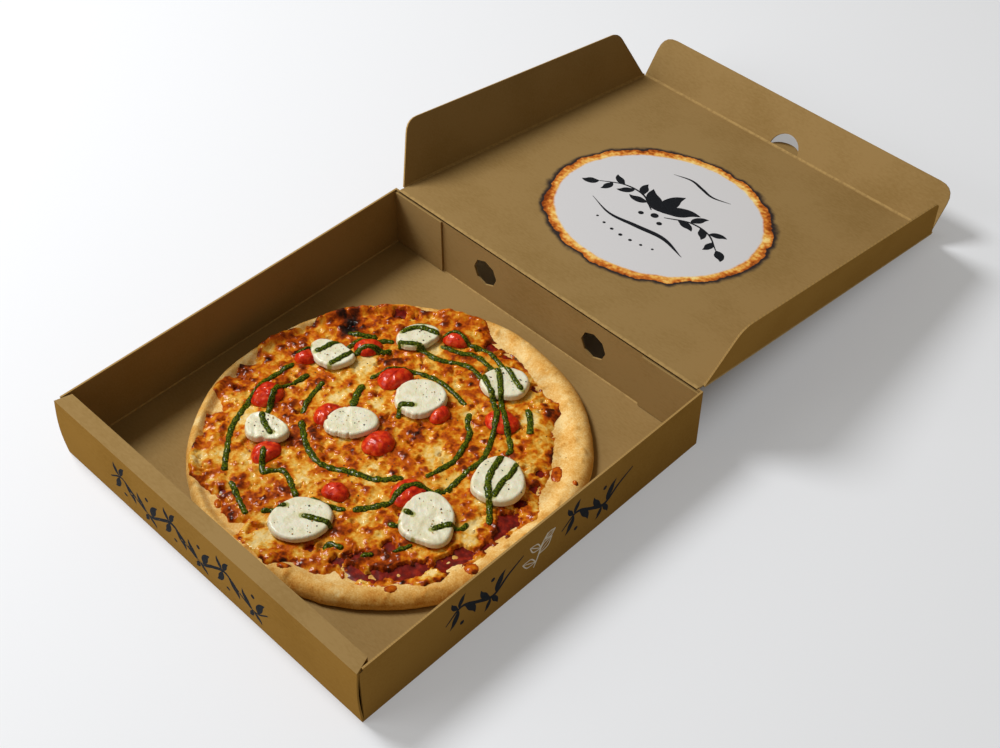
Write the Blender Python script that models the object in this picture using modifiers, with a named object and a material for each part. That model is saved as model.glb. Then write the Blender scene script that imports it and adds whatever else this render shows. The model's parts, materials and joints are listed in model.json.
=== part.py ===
"""A pizza in its open take-away box.

The box is one folded blank of thin corrugated board: a tray with a double front
wall, and a lid that swings on the crease along the top of the tray's back wall.
The lid has three flaps, each on its own crease. The pizza lies in the tray: a
crust, a layer of melted cheese, slices of mozzarella and halves of tomato.

Metres, +Z up. The origin is the centre of the tray's underside, and the lid's
crease runs along X at the back (+Y).
"""

import math

import bmesh
import bpy
from mathutils import Matrix, Vector

# The board and the tray.
BOARD = 0.0015
TRAY_WIDTH = 0.330
TRAY_DEPTH = 0.338
CREASE_HEIGHT = 0.0576
WALL_TOP = CREASE_HEIGHT - 0.0004
CLEARANCE = 0.0003

# The tray's front wall is rolled over into a hollow double wall.
ROLL_DEPTH = 0.013
ROLL_OUTER_TOP = 0.0566
FRONT_BOW = 0.002
MITRE = 0.0044
CORNER_SLIT = 0.0018
CORNER_NOTCH_DROP = 0.0024
CORNER_NOTCH_LENGTH = 0.0033
BOW_STEPS = 8

# The side walls' rear tabs lie against the back wall, which has two vents.
TAB_WIDTH = 0.055
TAB_DROP = 0.0018
VENT_RADIUS = 0.0127
VENT_OFFSET = 0.0592
VENT_HEIGHT = 0.0303
VENT_SIDES = 8
VENT_CUT_DEPTH = 0.015

# The lid, its droop below level and its flaps' lean out of upright, in degrees.
LID_WIDTH = 0.3214
LID_LENGTH = 0.3172
LID_DROOP = 8.0
FLAP_LEAN = {"front": 30.0, "left": 22.0, "right": 11.0}
CREASE_GAP = 0.0003
HINGE_GAP = 0.0006
FRONT_FLAP_HEIGHT = 0.0415
SIDE_FLAP_HEIGHTS = (0.0530, 0.0485)
SIDE_FLAP_SLANTS = (0.018, 0.026)
SIDE_FLAP_ENDS = (0.005, 0.0015)
FLAP_CORNER = 0.015
THUMB_RADIUS = 0.015
THUMB_OFFSET = 0.003
THUMB_STEPS = 14

# The pizza, measured from its own centre and from its underside.
PIZZA_CENTRE = Vector((0.0065, 0.001))
PIZZA_RADIUS = 0.150
PIZZA_BASE = BOARD + CLEARANCE
DOUGH = 0.0062
RIM_HEIGHT = 0.0115
EDGE_HEIGHT = 0.0052
EDGE_LIFT = 0.0009
RIM_MEAN = 0.0175
RIM_SWING = 0.0095
RIM_BEARING = 5.0
RIM_LEAST = 0.012
RIM_CREST = 0.45
CHEESE = 0.0042
CHEESE_EDGE = 0.0012
CHEESE_SLOPE = 0.014
CHEESE_BORDER = 0.016
CHEESE_WAVE = 0.0004
LAYER_GAP = 0.00065
ROUND_STEPS = 60

# The outline as stretched by hand: an oval with its long way at OVAL_BEARING,
# ripples and lobes as (waves in a turn, phase, size), and flattened stretches as
# (bearing, width in degrees, depth).
OVAL = 0.0022
OVAL_BEARING = 45.0
RIPPLES = ((7, 0.5, 0.0006), (11, 0.0, 0.0005))
FLATS = ((-85, 28, 0.0042), (0, 22, 0.0030))
CHEESE_LOBES = ((5, 0.8, 0.0018), (9, 0.0, 0.0011))

# Slices of mozzarella: bearing from the pizza's centre in degrees, distance in
# millimetres, length and width in millimetres, and the bearing of the length.
SLICES = (
    (164, 99, 36, 33, 60),
    (125, 107, 35, 31, 40),
    (77, 101, 38, 35, 10),
    (105, 44, 42, 39, 120),
    (198, 34, 43, 33, 30),
    (219, 93, 33, 30, 20),
    (-83, 98, 46, 41, 45),
    (-24, 84, 50, 38, 130),
    (17, 91, 47, 38, 125),
)
SLICE_THICKNESS = 0.0062
SLICE_STEPS = 18
SLICE_LOBES = 0.03
SLICE_CUT = 1.04
SLICE_CUT_DEPTH = 0.05

# Tomato halves: bearing in degrees, distance and diameter in millimetres.
TOMATOES = (
    (149, 98, 23),
    (175, 111, 19),
    (199, 107, 28),
    (134, 60, 28),
    (199, 55, 28),
    (254, 11, 28),
    (236, 93, 24),
    (111, 115, 22),
    (78, 41, 26),
    (56, 86, 28),
    (-81, 64, 21),
    (-32, 55, 28),
)
TOMATO_HEIGHT = 0.0068
TOMATO_OVAL = 0.92
TOMATO_LOBES = 0.02
TOMATO_STEPS = 14
TOUCHING = 1.08

MILLIMETRE = 0.001


def start_file():
    """Empty the file and make the collections for the parts and the cutters."""
    for thing in list(bpy.data.objects):
        bpy.data.objects.remove(thing, do_unlink=True)
    parts = bpy.data.collections.new("pizza_in_box")
    cutters = bpy.data.collections.new("cutters")
    for collection in (parts, cutters):
        bpy.context.scene.collection.children.link(collection)
    return parts, cutters


def make_material(name, colour, roughness):
    """A plain Principled material."""
    material = bpy.data.materials.new(name)
    material.use_nodes = True
    shader = material.node_tree.nodes["Principled BSDF"]
    shader.inputs["Base Color"].default_value = (*colour, 1.0)
    shader.inputs["Roughness"].default_value = roughness
    shader.inputs["Metallic"].default_value = 0.0
    return material


def add_object(name, mesh, collection, material=None, parent=None):
    """Put a mesh in a collection as a named object."""
    thing = bpy.data.objects.new(name, mesh)
    collection.objects.link(thing)
    if material:
        mesh.materials.clear()
        mesh.materials.append(material)
    thing.parent = parent
    return thing


def add_empty(name, location, rotation, collection, parent=None):
    """An empty on a crease, whose X axis is the line that the board folds on."""
    empty = bpy.data.objects.new(name, None)
    empty.empty_display_size = 0.02
    collection.objects.link(empty)
    empty.parent = parent
    empty.location = location
    empty.rotation_euler = rotation
    return empty


def add_cutter(name, mesh, collection):
    """A cutter is drawn as wire and isn't part of the model."""
    cutter = add_object(name, mesh, collection)
    cutter.hide_render = True
    cutter.display_type = "WIRE"
    return cutter


def add_boolean(thing, operation, other):
    """Join or cut with the exact solver."""
    modifier = thing.modifiers.new(operation.lower(), "BOOLEAN")
    modifier.operation = operation
    modifier.object = other
    modifier.solver = "EXACT"


def box_mesh(name, low, high):
    """A box between two corners."""
    low, high = Vector(low), Vector(high)
    form = bmesh.new()
    bmesh.ops.create_cube(form, size=1.0)
    bmesh.ops.scale(form, vec=high - low, verts=form.verts)
    bmesh.ops.translate(form, vec=(low + high) / 2, verts=form.verts)
    mesh = bpy.data.meshes.new(name)
    form.to_mesh(mesh)
    form.free()
    return mesh


def board_mesh(name, outline, thickness, lift=0.0):
    """A flat outline cut from board: a filled 2D curve, made a closed mesh."""
    curve = bpy.data.curves.new(name, "CURVE")
    curve.dimensions = "2D"
    curve.fill_mode = "BOTH"
    curve.extrude = thickness / 2
    spline = curve.splines.new("POLY")
    spline.points.add(len(outline) - 1)
    for point, (x, y) in zip(spline.points, outline):
        point.co = (x, y, 0.0, 1.0)
    spline.use_cyclic_u = True
    sketch = bpy.data.objects.new(name, curve)
    bpy.context.scene.collection.objects.link(sketch)
    bpy.context.view_layer.update()
    drawn = sketch.evaluated_get(bpy.context.evaluated_depsgraph_get())
    mesh = bpy.data.meshes.new_from_object(drawn)
    bpy.data.objects.remove(sketch, do_unlink=True)
    form = bmesh.new()
    form.from_mesh(mesh)
    bmesh.ops.remove_doubles(form, verts=form.verts, dist=1e-6)
    bmesh.ops.translate(form, vec=(0.0, 0.0, lift), verts=form.verts)
    bmesh.ops.recalc_face_normals(form, faces=form.faces)
    form.to_mesh(mesh)
    form.free()
    mesh.name = name
    return mesh


def arc(centre, radius, start, end, steps):
    """Points along an arc, with its angles in degrees."""
    points = []
    for step in range(steps + 1):
        angle = math.radians(start + (end - start) * step / steps)
        x = centre[0] + radius * math.cos(angle)
        y = centre[1] + radius * math.sin(angle)
        points.append((x, y))
    return points


def rounded(corners, radii, steps=5):
    """Round the corners of an outline, each by its own radius."""
    points = []
    for index, corner in enumerate(corners):
        radius = radii[index]
        here = Vector(corner)
        if radius == 0.0:
            points.append(tuple(here))
            continue
        back = (Vector(corners[index - 1]) - here).normalized()
        ahead = (Vector(corners[(index + 1) % len(corners)]) - here).normalized()
        half = back.angle(ahead) / 2
        reach = radius / math.tan(half)
        first = here + back * reach
        last = here + ahead * reach
        for step in range(steps + 1):
            share = step / steps
            bend = (1 - share) ** 2 * first + 2 * share * (1 - share) * here + share**2 * last
            points.append(tuple(bend))
    return points


# The tray.


def roll_outline():
    """The front wall's cross-section, as (depth, height) points.

    It climbs the bowed outer face, crosses the top, goes down the inner wall
    and comes back along the inside, a board's thickness away.
    """
    front = -TRAY_DEPTH / 2
    inner = front + ROLL_DEPTH
    foot = front + 4 * BOARD
    outer_face = []
    inner_face = []
    for step in range(BOW_STEPS + 1):
        share = step / BOW_STEPS
        depth = front - FRONT_BOW * math.sin(math.pi * share)
        outer_face.append((depth, ROLL_OUTER_TOP * share))
        top_inside = ROLL_OUTER_TOP - BOARD
        inner_face.append((depth + BOARD, BOARD + (top_inside - BOARD) * share))
    bottom = BOARD + 2 * CLEARANCE
    over = [(inner, WALL_TOP), (inner, bottom), (inner - BOARD, bottom)]
    under = [(inner - BOARD, WALL_TOP - BOARD)]
    foot_end = [(foot, BOARD), (foot, 0.0)]
    return outer_face + over + under + inner_face[::-1] + foot_end


def roll_half_width(depth):
    """The rolled top and the inner wall are mitred at both ends."""
    front = -TRAY_DEPTH / 2
    share = min(max((depth - front) / ROLL_DEPTH, 0.0), 1.0)
    return TRAY_WIDTH / 2 - MITRE * share


def front_wall_mesh():
    """The rolled front wall, extruded along X and mitred above the floor."""
    half = TRAY_WIDTH / 2
    mesh = board_mesh("front_wall", roll_outline(), TRAY_WIDTH)
    turn = Matrix(((0, 0, 1), (1, 0, 0), (0, 1, 0))).to_4x4()
    mesh.transform(turn)
    for vertex in mesh.vertices:
        behind_wall = vertex.co.y > -TRAY_DEPTH / 2 + 2 * BOARD
        above_floor = vertex.co.z > BOARD + CLEARANCE
        mitred = behind_wall and above_floor
        reach = roll_half_width(vertex.co.y) if mitred else half
        vertex.co.x = math.copysign(reach, vertex.co.x)
    return mesh


def build_tray(parts, cutters, board):
    """Floor, side and back walls as a folded shell, with the front wall joined on."""
    half_width = TRAY_WIDTH / 2
    half_depth = TRAY_DEPTH / 2
    side_front = -half_depth + CORNER_SLIT

    shell = box_mesh("tray", (-half_width, side_front, 0.0), (half_width, half_depth, WALL_TOP))
    form = bmesh.new()
    form.from_mesh(shell)
    open_faces = [f for f in form.faces if f.normal.z > 0.5 or f.normal.y < -0.5]
    bmesh.ops.delete(form, geom=open_faces, context="FACES")
    form.to_mesh(shell)
    form.free()
    tray = add_object("tray", shell, parts, board)
    thickness = tray.modifiers.new("board", "SOLIDIFY")
    thickness.thickness = BOARD
    thickness.offset = -1.0
    thickness.use_even_offset = True

    for side, word in ((-1, "left"), (1, "right")):
        wall = side * half_width
        low = (wall - 2 * BOARD, side_front - BOARD, WALL_TOP - CORNER_NOTCH_DROP)
        high = (wall + 2 * BOARD, side_front + CORNER_NOTCH_LENGTH, WALL_TOP + BOARD)
        notch = add_cutter(f"corner_notch_{word}", box_mesh("corner_notch", low, high), cutters)
        add_boolean(tray, "DIFFERENCE", notch)

    front = add_cutter("front_wall", front_wall_mesh(), cutters)
    add_boolean(tray, "UNION", front)

    for side, word in ((-1, "left"), (1, "right")):
        inner_edge = side * (half_width - BOARD - TAB_WIDTH)
        outer_edge = side * (half_width - BOARD / 2)
        tab_back = half_depth - BOARD - CLEARANCE
        low = (min(inner_edge, outer_edge), tab_back - BOARD, BOARD + 2 * CLEARANCE)
        high = (max(inner_edge, outer_edge), tab_back, WALL_TOP - TAB_DROP)
        tab = add_cutter(f"rear_tab_{word}", box_mesh("rear_tab", low, high), cutters)
        add_boolean(tray, "UNION", tab)

        form = bmesh.new()
        bmesh.ops.create_cone(
            form,
            cap_ends=True,
            segments=VENT_SIDES,
            radius1=VENT_RADIUS,
            radius2=VENT_RADIUS,
            depth=VENT_CUT_DEPTH,
        )
        bmesh.ops.rotate(form, matrix=Matrix.Rotation(math.radians(90), 3, "X"), verts=form.verts)
        place = (side * VENT_OFFSET, half_depth, VENT_HEIGHT)
        bmesh.ops.translate(form, vec=place, verts=form.verts)
        hole = bpy.data.meshes.new("vent")
        form.to_mesh(hole)
        form.free()
        vent = add_cutter(f"vent_{word}", hole, cutters)
        add_boolean(tray, "DIFFERENCE", vent)
    return tray


# The lid.


def lid_outline():
    """The lid's panel, with the round thumb tab that stays level at its far edge."""
    half = LID_WIDTH / 2 - CREASE_GAP
    far = LID_LENGTH - CREASE_GAP
    points = [(-half, HINGE_GAP), (half, HINGE_GAP), (half, far)]
    tab_radius = THUMB_RADIUS - 2 * CREASE_GAP
    points += arc((THUMB_OFFSET, far), tab_radius, 0, 180, THUMB_STEPS)
    points.append((-half, far))
    return points


def front_flap_outline():
    """The front flap from its crease out, with the thumb hole cut in at the crease."""
    half = LID_WIDTH / 2
    height = FRONT_FLAP_HEIGHT
    left_part = [
        (-half + CREASE_GAP, CREASE_GAP),
        (THUMB_OFFSET - THUMB_RADIUS, CREASE_GAP),
    ]
    thumb = arc((THUMB_OFFSET, CREASE_GAP), THUMB_RADIUS, 180, 0, THUMB_STEPS)
    corners = [(half - CREASE_GAP, CREASE_GAP), (half, height), (-half, height)]
    right_and_top = rounded(left_part[:1] + corners, (0.0, 0.0, FLAP_CORNER, FLAP_CORNER))[1:]
    return left_part + thumb[1:] + right_and_top


def side_flap_outline(side):
    """A side flap: side 1 counts away from the hinge, side -1 the other way."""
    near_height, far_height = SIDE_FLAP_HEIGHTS
    near_end, far_end = SIDE_FLAP_ENDS
    near_slant, far_slant = SIDE_FLAP_SLANTS
    corners = [
        (near_end, CREASE_GAP),
        (LID_LENGTH - far_end, CREASE_GAP),
        (LID_LENGTH - far_end - far_slant, far_height),
        (near_end + near_slant, near_height),
    ]
    points = rounded(corners, (0.0, 0.0, FLAP_CORNER, FLAP_CORNER))
    return [(side * x, y) for x, y in points]


def build_lid(parts, board):
    """The lid's panel and flaps, each on an empty at its crease."""
    crease = (0.0, TRAY_DEPTH / 2, CREASE_HEIGHT)
    hinge = add_empty("lid_hinge", crease, (-math.radians(LID_DROOP), 0.0, 0.0), parts)
    panel = board_mesh("lid_panel", lid_outline(), BOARD, lift=-BOARD / 2)
    add_object("lid_panel", panel, parts, board, hinge)

    creases = {
        "front": ((0.0, LID_LENGTH, 0.0), 0.0, front_flap_outline()),
        "left": ((-LID_WIDTH / 2, 0.0, 0.0), 90.0, side_flap_outline(1)),
        "right": ((LID_WIDTH / 2, 0.0, 0.0), -90.0, side_flap_outline(-1)),
    }
    for word, (place, heading, outline) in creases.items():
        line = add_empty(f"{word}_crease", place, (0.0, 0.0, math.radians(heading)), parts, hinge)
        fold = math.radians(90.0 - FLAP_LEAN[word])
        folded = add_empty(f"{word}_fold", (0.0, 0.0, 0.0), (fold, 0.0, 0.0), parts, line)
        name = f"lid_{word}_flap"
        mesh = board_mesh(name, outline, BOARD, lift=-BOARD / 2)
        add_object(name, mesh, parts, board, folded)


# The pizza: heights are functions of the place, so each layer fits the next.


def smooth(share):
    """An S-shaped rise from 0 to 1."""
    share = min(max(share, 0.0), 1.0)
    return share * share * (3.0 - 2.0 * share)


def bump(angle, centre, width):
    """A round hump in bearing, 1 high, with all values in degrees."""
    away = (math.degrees(angle) - centre + 180.0) % 360.0 - 180.0
    return math.exp(-((away / width) ** 2))


def ripple(angle, waves):
    """A sum of waves around the pizza."""
    return sum(size * math.cos(count * angle + phase) for count, phase, size in waves)


def crust_radius(angle):
    """The hand-stretched outline: slightly oval, flatter at the front and right."""
    oval = OVAL * math.cos(2 * (angle - math.radians(OVAL_BEARING)))
    flat = sum(depth * bump(angle, bearing, width) for bearing, width, depth in FLATS)
    return PIZZA_RADIUS + oval + ripple(angle, RIPPLES) - flat


def side_swing(angle):
    """The dough's bare rim is wide to the right and narrow to the left."""
    return RIM_MEAN + RIM_SWING * math.cos(angle - math.radians(RIM_BEARING))


def bare_width(angle):
    """How far the cheese stays from the edge."""
    return side_swing(angle) + ripple(angle, CHEESE_LOBES)


def rim_width(angle):
    """Width of the raised rim, from the edge to its foot."""
    return max(side_swing(angle), RIM_LEAST)


def crust_top(radius, angle):
    """Height of the dough above the pizza's underside."""
    share = (crust_radius(angle) - radius) / rim_width(angle)
    if share >= RIM_CREST:
        return DOUGH + (RIM_HEIGHT - DOUGH) * smooth((1.0 - share) / (1.0 - RIM_CREST))
    fall = 1.0 - max(share, 0.0) / RIM_CREST
    return RIM_HEIGHT - (RIM_HEIGHT - EDGE_HEIGHT) * fall**2


def cheese_radius(angle):
    """Reach of the melted cheese."""
    return crust_radius(angle) - bare_width(angle)


def cheese_top(radius, angle):
    """Height of the cheese above the pizza's underside, uneven as it melted."""
    inside = (cheese_radius(angle) - radius) / CHEESE_SLOPE
    x, y = radius * math.cos(angle), radius * math.sin(angle)
    waves = CHEESE_WAVE * (math.sin(70 * x + 1.0) + math.cos(65 * y - 30 * x))
    depth = CHEESE_EDGE + (CHEESE - CHEESE_EDGE + waves) * smooth(inside)
    return crust_top(radius, angle) + LAYER_GAP + depth


def turned_form(profile, steps):
    """Turn a profile of (ring, level) points once about Z."""
    form = bmesh.new()
    verts = [form.verts.new((ring, 0.0, level)) for ring, level in profile]
    edges = [form.edges.new(pair) for pair in zip(verts, verts[1:])]
    bmesh.ops.spin(
        form,
        geom=verts + edges,
        axis=(0.0, 0.0, 1.0),
        cent=(0.0, 0.0, 0.0),
        steps=steps,
        angle=math.tau,
    )
    bmesh.ops.remove_doubles(form, verts=form.verts, dist=1e-5)
    return form


def finish_form(form, name):
    """Turn the faces outward, shade them smooth and make the mesh."""
    bmesh.ops.recalc_face_normals(form, faces=form.faces)
    if form.calc_volume(signed=True) < 0.0:
        bmesh.ops.reverse_faces(form, faces=form.faces)
    mesh = bpy.data.meshes.new(name)
    form.to_mesh(mesh)
    form.free()
    mesh.shade_smooth()
    mesh.set_sharp_from_angle(angle=math.radians(50))
    return mesh


def pizza_point(radius, angle, height):
    """A place on the pizza, in the tray's frame."""
    x = PIZZA_CENTRE.x + radius * math.cos(angle)
    y = PIZZA_CENTRE.y + radius * math.sin(angle)
    return Vector((x, y, PIZZA_BASE + height))


def build_crust(parts, dough):
    """The dough: rings 0 to 1 cover the base, and 1 to 2 cover the rim."""
    base_rings = (0.0, 0.4, 0.75, 1.0)
    rim_rings = (1.1, 1.22, 1.38, 1.5, 1.62, 1.75, 1.87, 1.95)
    under_rings = (1.9, 1.6, 0.8, 0.0)
    lifted_from = 1.85
    top = [(ring, 1.0) for ring in base_rings + rim_rings]
    edge = [(2.0, 0.5)]
    bottom = [(ring, 0.0) for ring in under_rings]
    form = turned_form(top + edge + bottom, ROUND_STEPS)
    for vertex in form.verts:
        ring = math.hypot(vertex.co.x, vertex.co.y)
        angle = math.atan2(vertex.co.y, vertex.co.x)
        foot = crust_radius(angle) - rim_width(angle)
        radius = foot * ring if ring <= 1.0 else foot + rim_width(angle) * (ring - 1.0)
        height = crust_top(radius, angle)
        if vertex.co.z < edge[0][1]:
            height = 0.0 if ring < lifted_from else EDGE_LIFT
        vertex.co = pizza_point(radius, angle, height)
    return add_object("pizza_crust", finish_form(form, "pizza_crust"), parts, dough)


def build_cheese(parts, cheese):
    """Melted cheese and sauce in one layer that lies on the dough."""
    top_rings = (0.0, 0.2, 0.4, 0.6, 0.8, 1.0, 1.25, 1.5, 1.7, 1.85, 1.95)
    under_rings = (2.0, 1.9, 1.8, 1.7, 1.55, 1.4, 1.2, 1.0, 0.5, 0.0)
    top = [(ring, 1.0) for ring in top_rings]
    bottom = [(ring, 0.0) for ring in under_rings]
    form = turned_form(top + bottom, ROUND_STEPS)
    for vertex in form.verts:
        ring = math.hypot(vertex.co.x, vertex.co.y)
        angle = math.atan2(vertex.co.y, vertex.co.x)
        middle = cheese_radius(angle) - CHEESE_BORDER
        radius = middle * ring if ring <= 1.0 else middle + CHEESE_BORDER * (ring - 1.0)
        if vertex.co.z > 0.5:
            height = cheese_top(radius, angle)
        else:
            height = crust_top(radius, angle) + LAYER_GAP
        vertex.co = pizza_point(radius, angle, height)
    return add_object("cheese_layer", finish_form(form, "cheese_layer"), parts, cheese)


def lay_on_cheese(form, centre, half_length, half_width, heading, thickness, lobes):
    """Stretch a turned form into an oval and lay it on the cheese."""
    turn = Matrix.Rotation(heading, 2)
    for vertex in form.verts:
        ring = math.hypot(vertex.co.x, vertex.co.y)
        angle = math.atan2(vertex.co.y, vertex.co.x)
        uneven = 1.0 + lobes * math.cos(3 * angle + heading) * ring
        flat = Vector((half_length * ring * math.cos(angle), half_width * ring * math.sin(angle)))
        place = centre + turn @ (flat * uneven)
        radius, bearing = place.length, math.atan2(place.y, place.x)
        height = cheese_top(radius, bearing) + LAYER_GAP + thickness * vertex.co.z
        vertex.co = pizza_point(radius, bearing, height)


def polar(bearing, distance):
    """A place on the pizza from a bearing in degrees and a distance in millimetres."""
    angle = math.radians(bearing)
    return Vector((math.cos(angle), math.sin(angle))) * distance * MILLIMETRE


def build_slices(parts, mozzarella):
    """Thick slices of mozzarella with soft, rounded edges."""
    profile = (
        (0.0, 1.0),
        (0.5, 0.98),
        (0.8, 0.88),
        (0.95, 0.66),
        (1.0, 0.38),
        (0.96, 0.1),
        (0.86, 0.0),
        (0.6, 0.0),
        (0.3, 0.0),
        (0.0, 0.0),
    )
    for number, (bearing, distance, length, width, heading) in enumerate(SLICES, 1):
        name = f"mozzarella_{number}"
        form = turned_form(profile, SLICE_STEPS)
        lay_on_cheese(
            form,
            polar(bearing, distance),
            length * MILLIMETRE / 2,
            width * MILLIMETRE / 2,
            math.radians(heading),
            SLICE_THICKNESS,
            SLICE_LOBES,
        )
        add_object(name, finish_form(form, name), parts, mozzarella)


def slice_cutter(number, cutters):
    """An upright oval a little larger than a slice, which keeps the tomatoes clear of it."""
    bearing, distance, length, width, heading = SLICES[number]
    form = bmesh.new()
    bmesh.ops.create_cone(
        form,
        cap_ends=True,
        segments=SLICE_STEPS,
        radius1=SLICE_CUT,
        radius2=SLICE_CUT,
        depth=SLICE_CUT_DEPTH,
    )
    size = (length * MILLIMETRE / 2, width * MILLIMETRE / 2, 1.0)
    bmesh.ops.scale(form, vec=size, verts=form.verts)
    bmesh.ops.rotate(
        form, matrix=Matrix.Rotation(math.radians(heading), 3, "Z"), verts=form.verts
    )
    place = PIZZA_CENTRE + polar(bearing, distance)
    bmesh.ops.translate(form, vec=(place.x, place.y, PIZZA_BASE + DOUGH), verts=form.verts)
    mesh = bpy.data.meshes.new("slice_cutter")
    form.to_mesh(mesh)
    form.free()
    return add_cutter(f"slice_cutter_{number + 1}", mesh, cutters)


def build_tomatoes(parts, cutters, tomato):
    """Halved small tomatoes, cut side down, tucked against the slices they touch."""
    profile = (
        (0.0, 1.0),
        (0.4, 0.92),
        (0.7, 0.7),
        (0.92, 0.34),
        (1.0, 0.08),
        (0.93, 0.0),
        (0.5, 0.0),
        (0.0, 0.0),
    )
    slice_cutters = {}
    for number, (bearing, distance, diameter) in enumerate(TOMATOES, 1):
        name = f"tomato_{number}"
        centre = polar(bearing, distance)
        form = turned_form(profile, TOMATO_STEPS)
        lay_on_cheese(
            form,
            centre,
            diameter * MILLIMETRE / 2,
            diameter * MILLIMETRE / 2 * TOMATO_OVAL,
            math.radians(bearing * 3),
            TOMATO_HEIGHT,
            TOMATO_LOBES,
        )
        thing = add_object(name, finish_form(form, name), parts, tomato)
        for index, (angle, away, length, width, heading) in enumerate(SLICES):
            reach = (diameter + max(length, width)) / 2 * MILLIMETRE * TOUCHING
            if (polar(angle, away) - centre).length < reach:
                if index not in slice_cutters:
                    slice_cutters[index] = slice_cutter(index, cutters)
                add_boolean(thing, "DIFFERENCE", slice_cutters[index])


def build():
    """Make every piece."""
    parts, cutters = start_file()
    board = make_material("kraft_board", (0.33, 0.21, 0.09), 0.8)
    dough = make_material("baked_dough", (0.62, 0.36, 0.13), 0.75)
    cheese = make_material("melted_cheese", (0.70, 0.31, 0.06), 0.45)
    mozzarella = make_material("mozzarella", (0.80, 0.78, 0.68), 0.4)
    tomato = make_material("tomato", (0.55, 0.05, 0.02), 0.3)
    build_tray(parts, cutters, board)
    build_lid(parts, board)
    build_crust(parts, dough)
    build_cheese(parts, cheese)
    build_slices(parts, mozzarella)
    build_tomatoes(parts, cutters, tomato)


build()
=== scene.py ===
"""A pizza in its open take-away box, dressed for close viewing.

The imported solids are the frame. The box's boards stay and get their finish, creases
and print, and the food is made anew in fine mesh on top of the solids it stands for.
"""

import json
import math
import random

import bmesh
import bpy
import numpy as np
from mathutils import Matrix, Vector, noise
from mathutils.bvhtree import BVHTree


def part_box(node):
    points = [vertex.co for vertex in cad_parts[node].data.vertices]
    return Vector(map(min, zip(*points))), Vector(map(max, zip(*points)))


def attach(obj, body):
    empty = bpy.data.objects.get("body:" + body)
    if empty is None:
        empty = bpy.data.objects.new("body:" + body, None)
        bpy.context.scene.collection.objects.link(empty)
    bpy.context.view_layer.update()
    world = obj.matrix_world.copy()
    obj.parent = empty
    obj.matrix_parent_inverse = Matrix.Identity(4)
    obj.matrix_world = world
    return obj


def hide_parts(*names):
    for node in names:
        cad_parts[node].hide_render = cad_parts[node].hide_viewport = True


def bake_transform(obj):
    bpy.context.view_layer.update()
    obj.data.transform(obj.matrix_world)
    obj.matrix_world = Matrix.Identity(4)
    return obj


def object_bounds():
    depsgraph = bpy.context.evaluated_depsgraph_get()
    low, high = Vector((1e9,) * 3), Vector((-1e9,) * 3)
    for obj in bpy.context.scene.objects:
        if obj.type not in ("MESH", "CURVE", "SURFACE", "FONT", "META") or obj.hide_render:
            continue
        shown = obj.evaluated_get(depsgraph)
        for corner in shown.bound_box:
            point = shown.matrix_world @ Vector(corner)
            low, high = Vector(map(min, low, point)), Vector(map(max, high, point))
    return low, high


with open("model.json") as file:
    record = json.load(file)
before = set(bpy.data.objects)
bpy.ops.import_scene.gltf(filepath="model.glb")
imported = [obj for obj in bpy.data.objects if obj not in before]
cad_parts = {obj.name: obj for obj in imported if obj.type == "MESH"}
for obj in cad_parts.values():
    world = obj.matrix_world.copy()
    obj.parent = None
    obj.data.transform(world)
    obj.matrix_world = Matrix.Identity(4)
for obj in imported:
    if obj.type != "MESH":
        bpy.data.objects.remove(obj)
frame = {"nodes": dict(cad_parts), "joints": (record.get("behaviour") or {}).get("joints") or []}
solid_low, solid_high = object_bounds()


# The tray.
# One piece of thin corrugated board with brown kraft paper on both sides, die-cut,
# creased and folded up by hand. The paper is matt, with fine fibres and a cloudy tone.

MM = 0.001
BOARD = 1.5 * MM
EDGE_DEPTH = 0.2 * MM
KRAFT_DARK = (144, 116, 70)
KRAFT_LIGHT = (155, 127, 81)
KRAFT_FIBRE = (162, 134, 92)
# Painted shade: the box's outer faces get a darker, more saturated brown than its inner faces.
OUTSIDE_SHADE_DARK = (137, 101, 45)
OUTSIDE_SHADE_LIGHT = (147, 110, 52)
KRAFT_EDGE = (172, 139, 84)


def paint(red, green, blue):
    """A colour from 0 to 255 as the shader's linear colour."""
    linear = []
    for value in (red, green, blue):
        share = value / 255
        linear.append(share / 12.92 if share <= 0.04045 else ((share + 0.055) / 1.055) ** 2.4)
    return (*linear, 1.0)


def add_node(tree, kind, inputs=None, **settings):
    """Add a shader node, with its settings, values and links in one call."""
    node = tree.nodes.new("ShaderNode" + kind)
    for key, value in settings.items():
        setattr(node, key, value)
    for key, value in (inputs or {}).items():
        if isinstance(value, bpy.types.NodeSocket):
            tree.links.new(value, node.inputs[key])
        else:
            node.inputs[key].default_value = value
    return node


def combined(tree, operation, first, second):
    """A Math node's result."""
    return add_node(tree, "Math", {0: first, 1: second}, operation=operation).outputs[0]


def sum_of(tree, first, second):
    """Two values added."""
    return combined(tree, "ADD", first, second)


def times(tree, first, second):
    """Two values multiplied."""
    return combined(tree, "MULTIPLY", first, second)


def between(tree, value, low, high):
    """0 below low, 1 above high and smooth in between."""
    steps = {"Value": value, "From Min": low, "From Max": high}
    return add_node(tree, "MapRange", steps, interpolation_type="SMOOTHSTEP").outputs["Result"]


def shades(tree, factor, *stops):
    """A colour ramp with (position, colour) stops."""
    node = add_node(tree, "ValToRGB", {"Fac": factor})
    ramp = node.color_ramp
    ramp.elements[0].position, ramp.elements[0].color = stops[0][0], paint(*stops[0][1])
    ramp.elements[1].position, ramp.elements[1].color = stops[-1][0], paint(*stops[-1][1])
    for position, colour in stops[1:-1]:
        ramp.elements.new(position).color = paint(*colour)
    return node.outputs["Color"]


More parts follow.
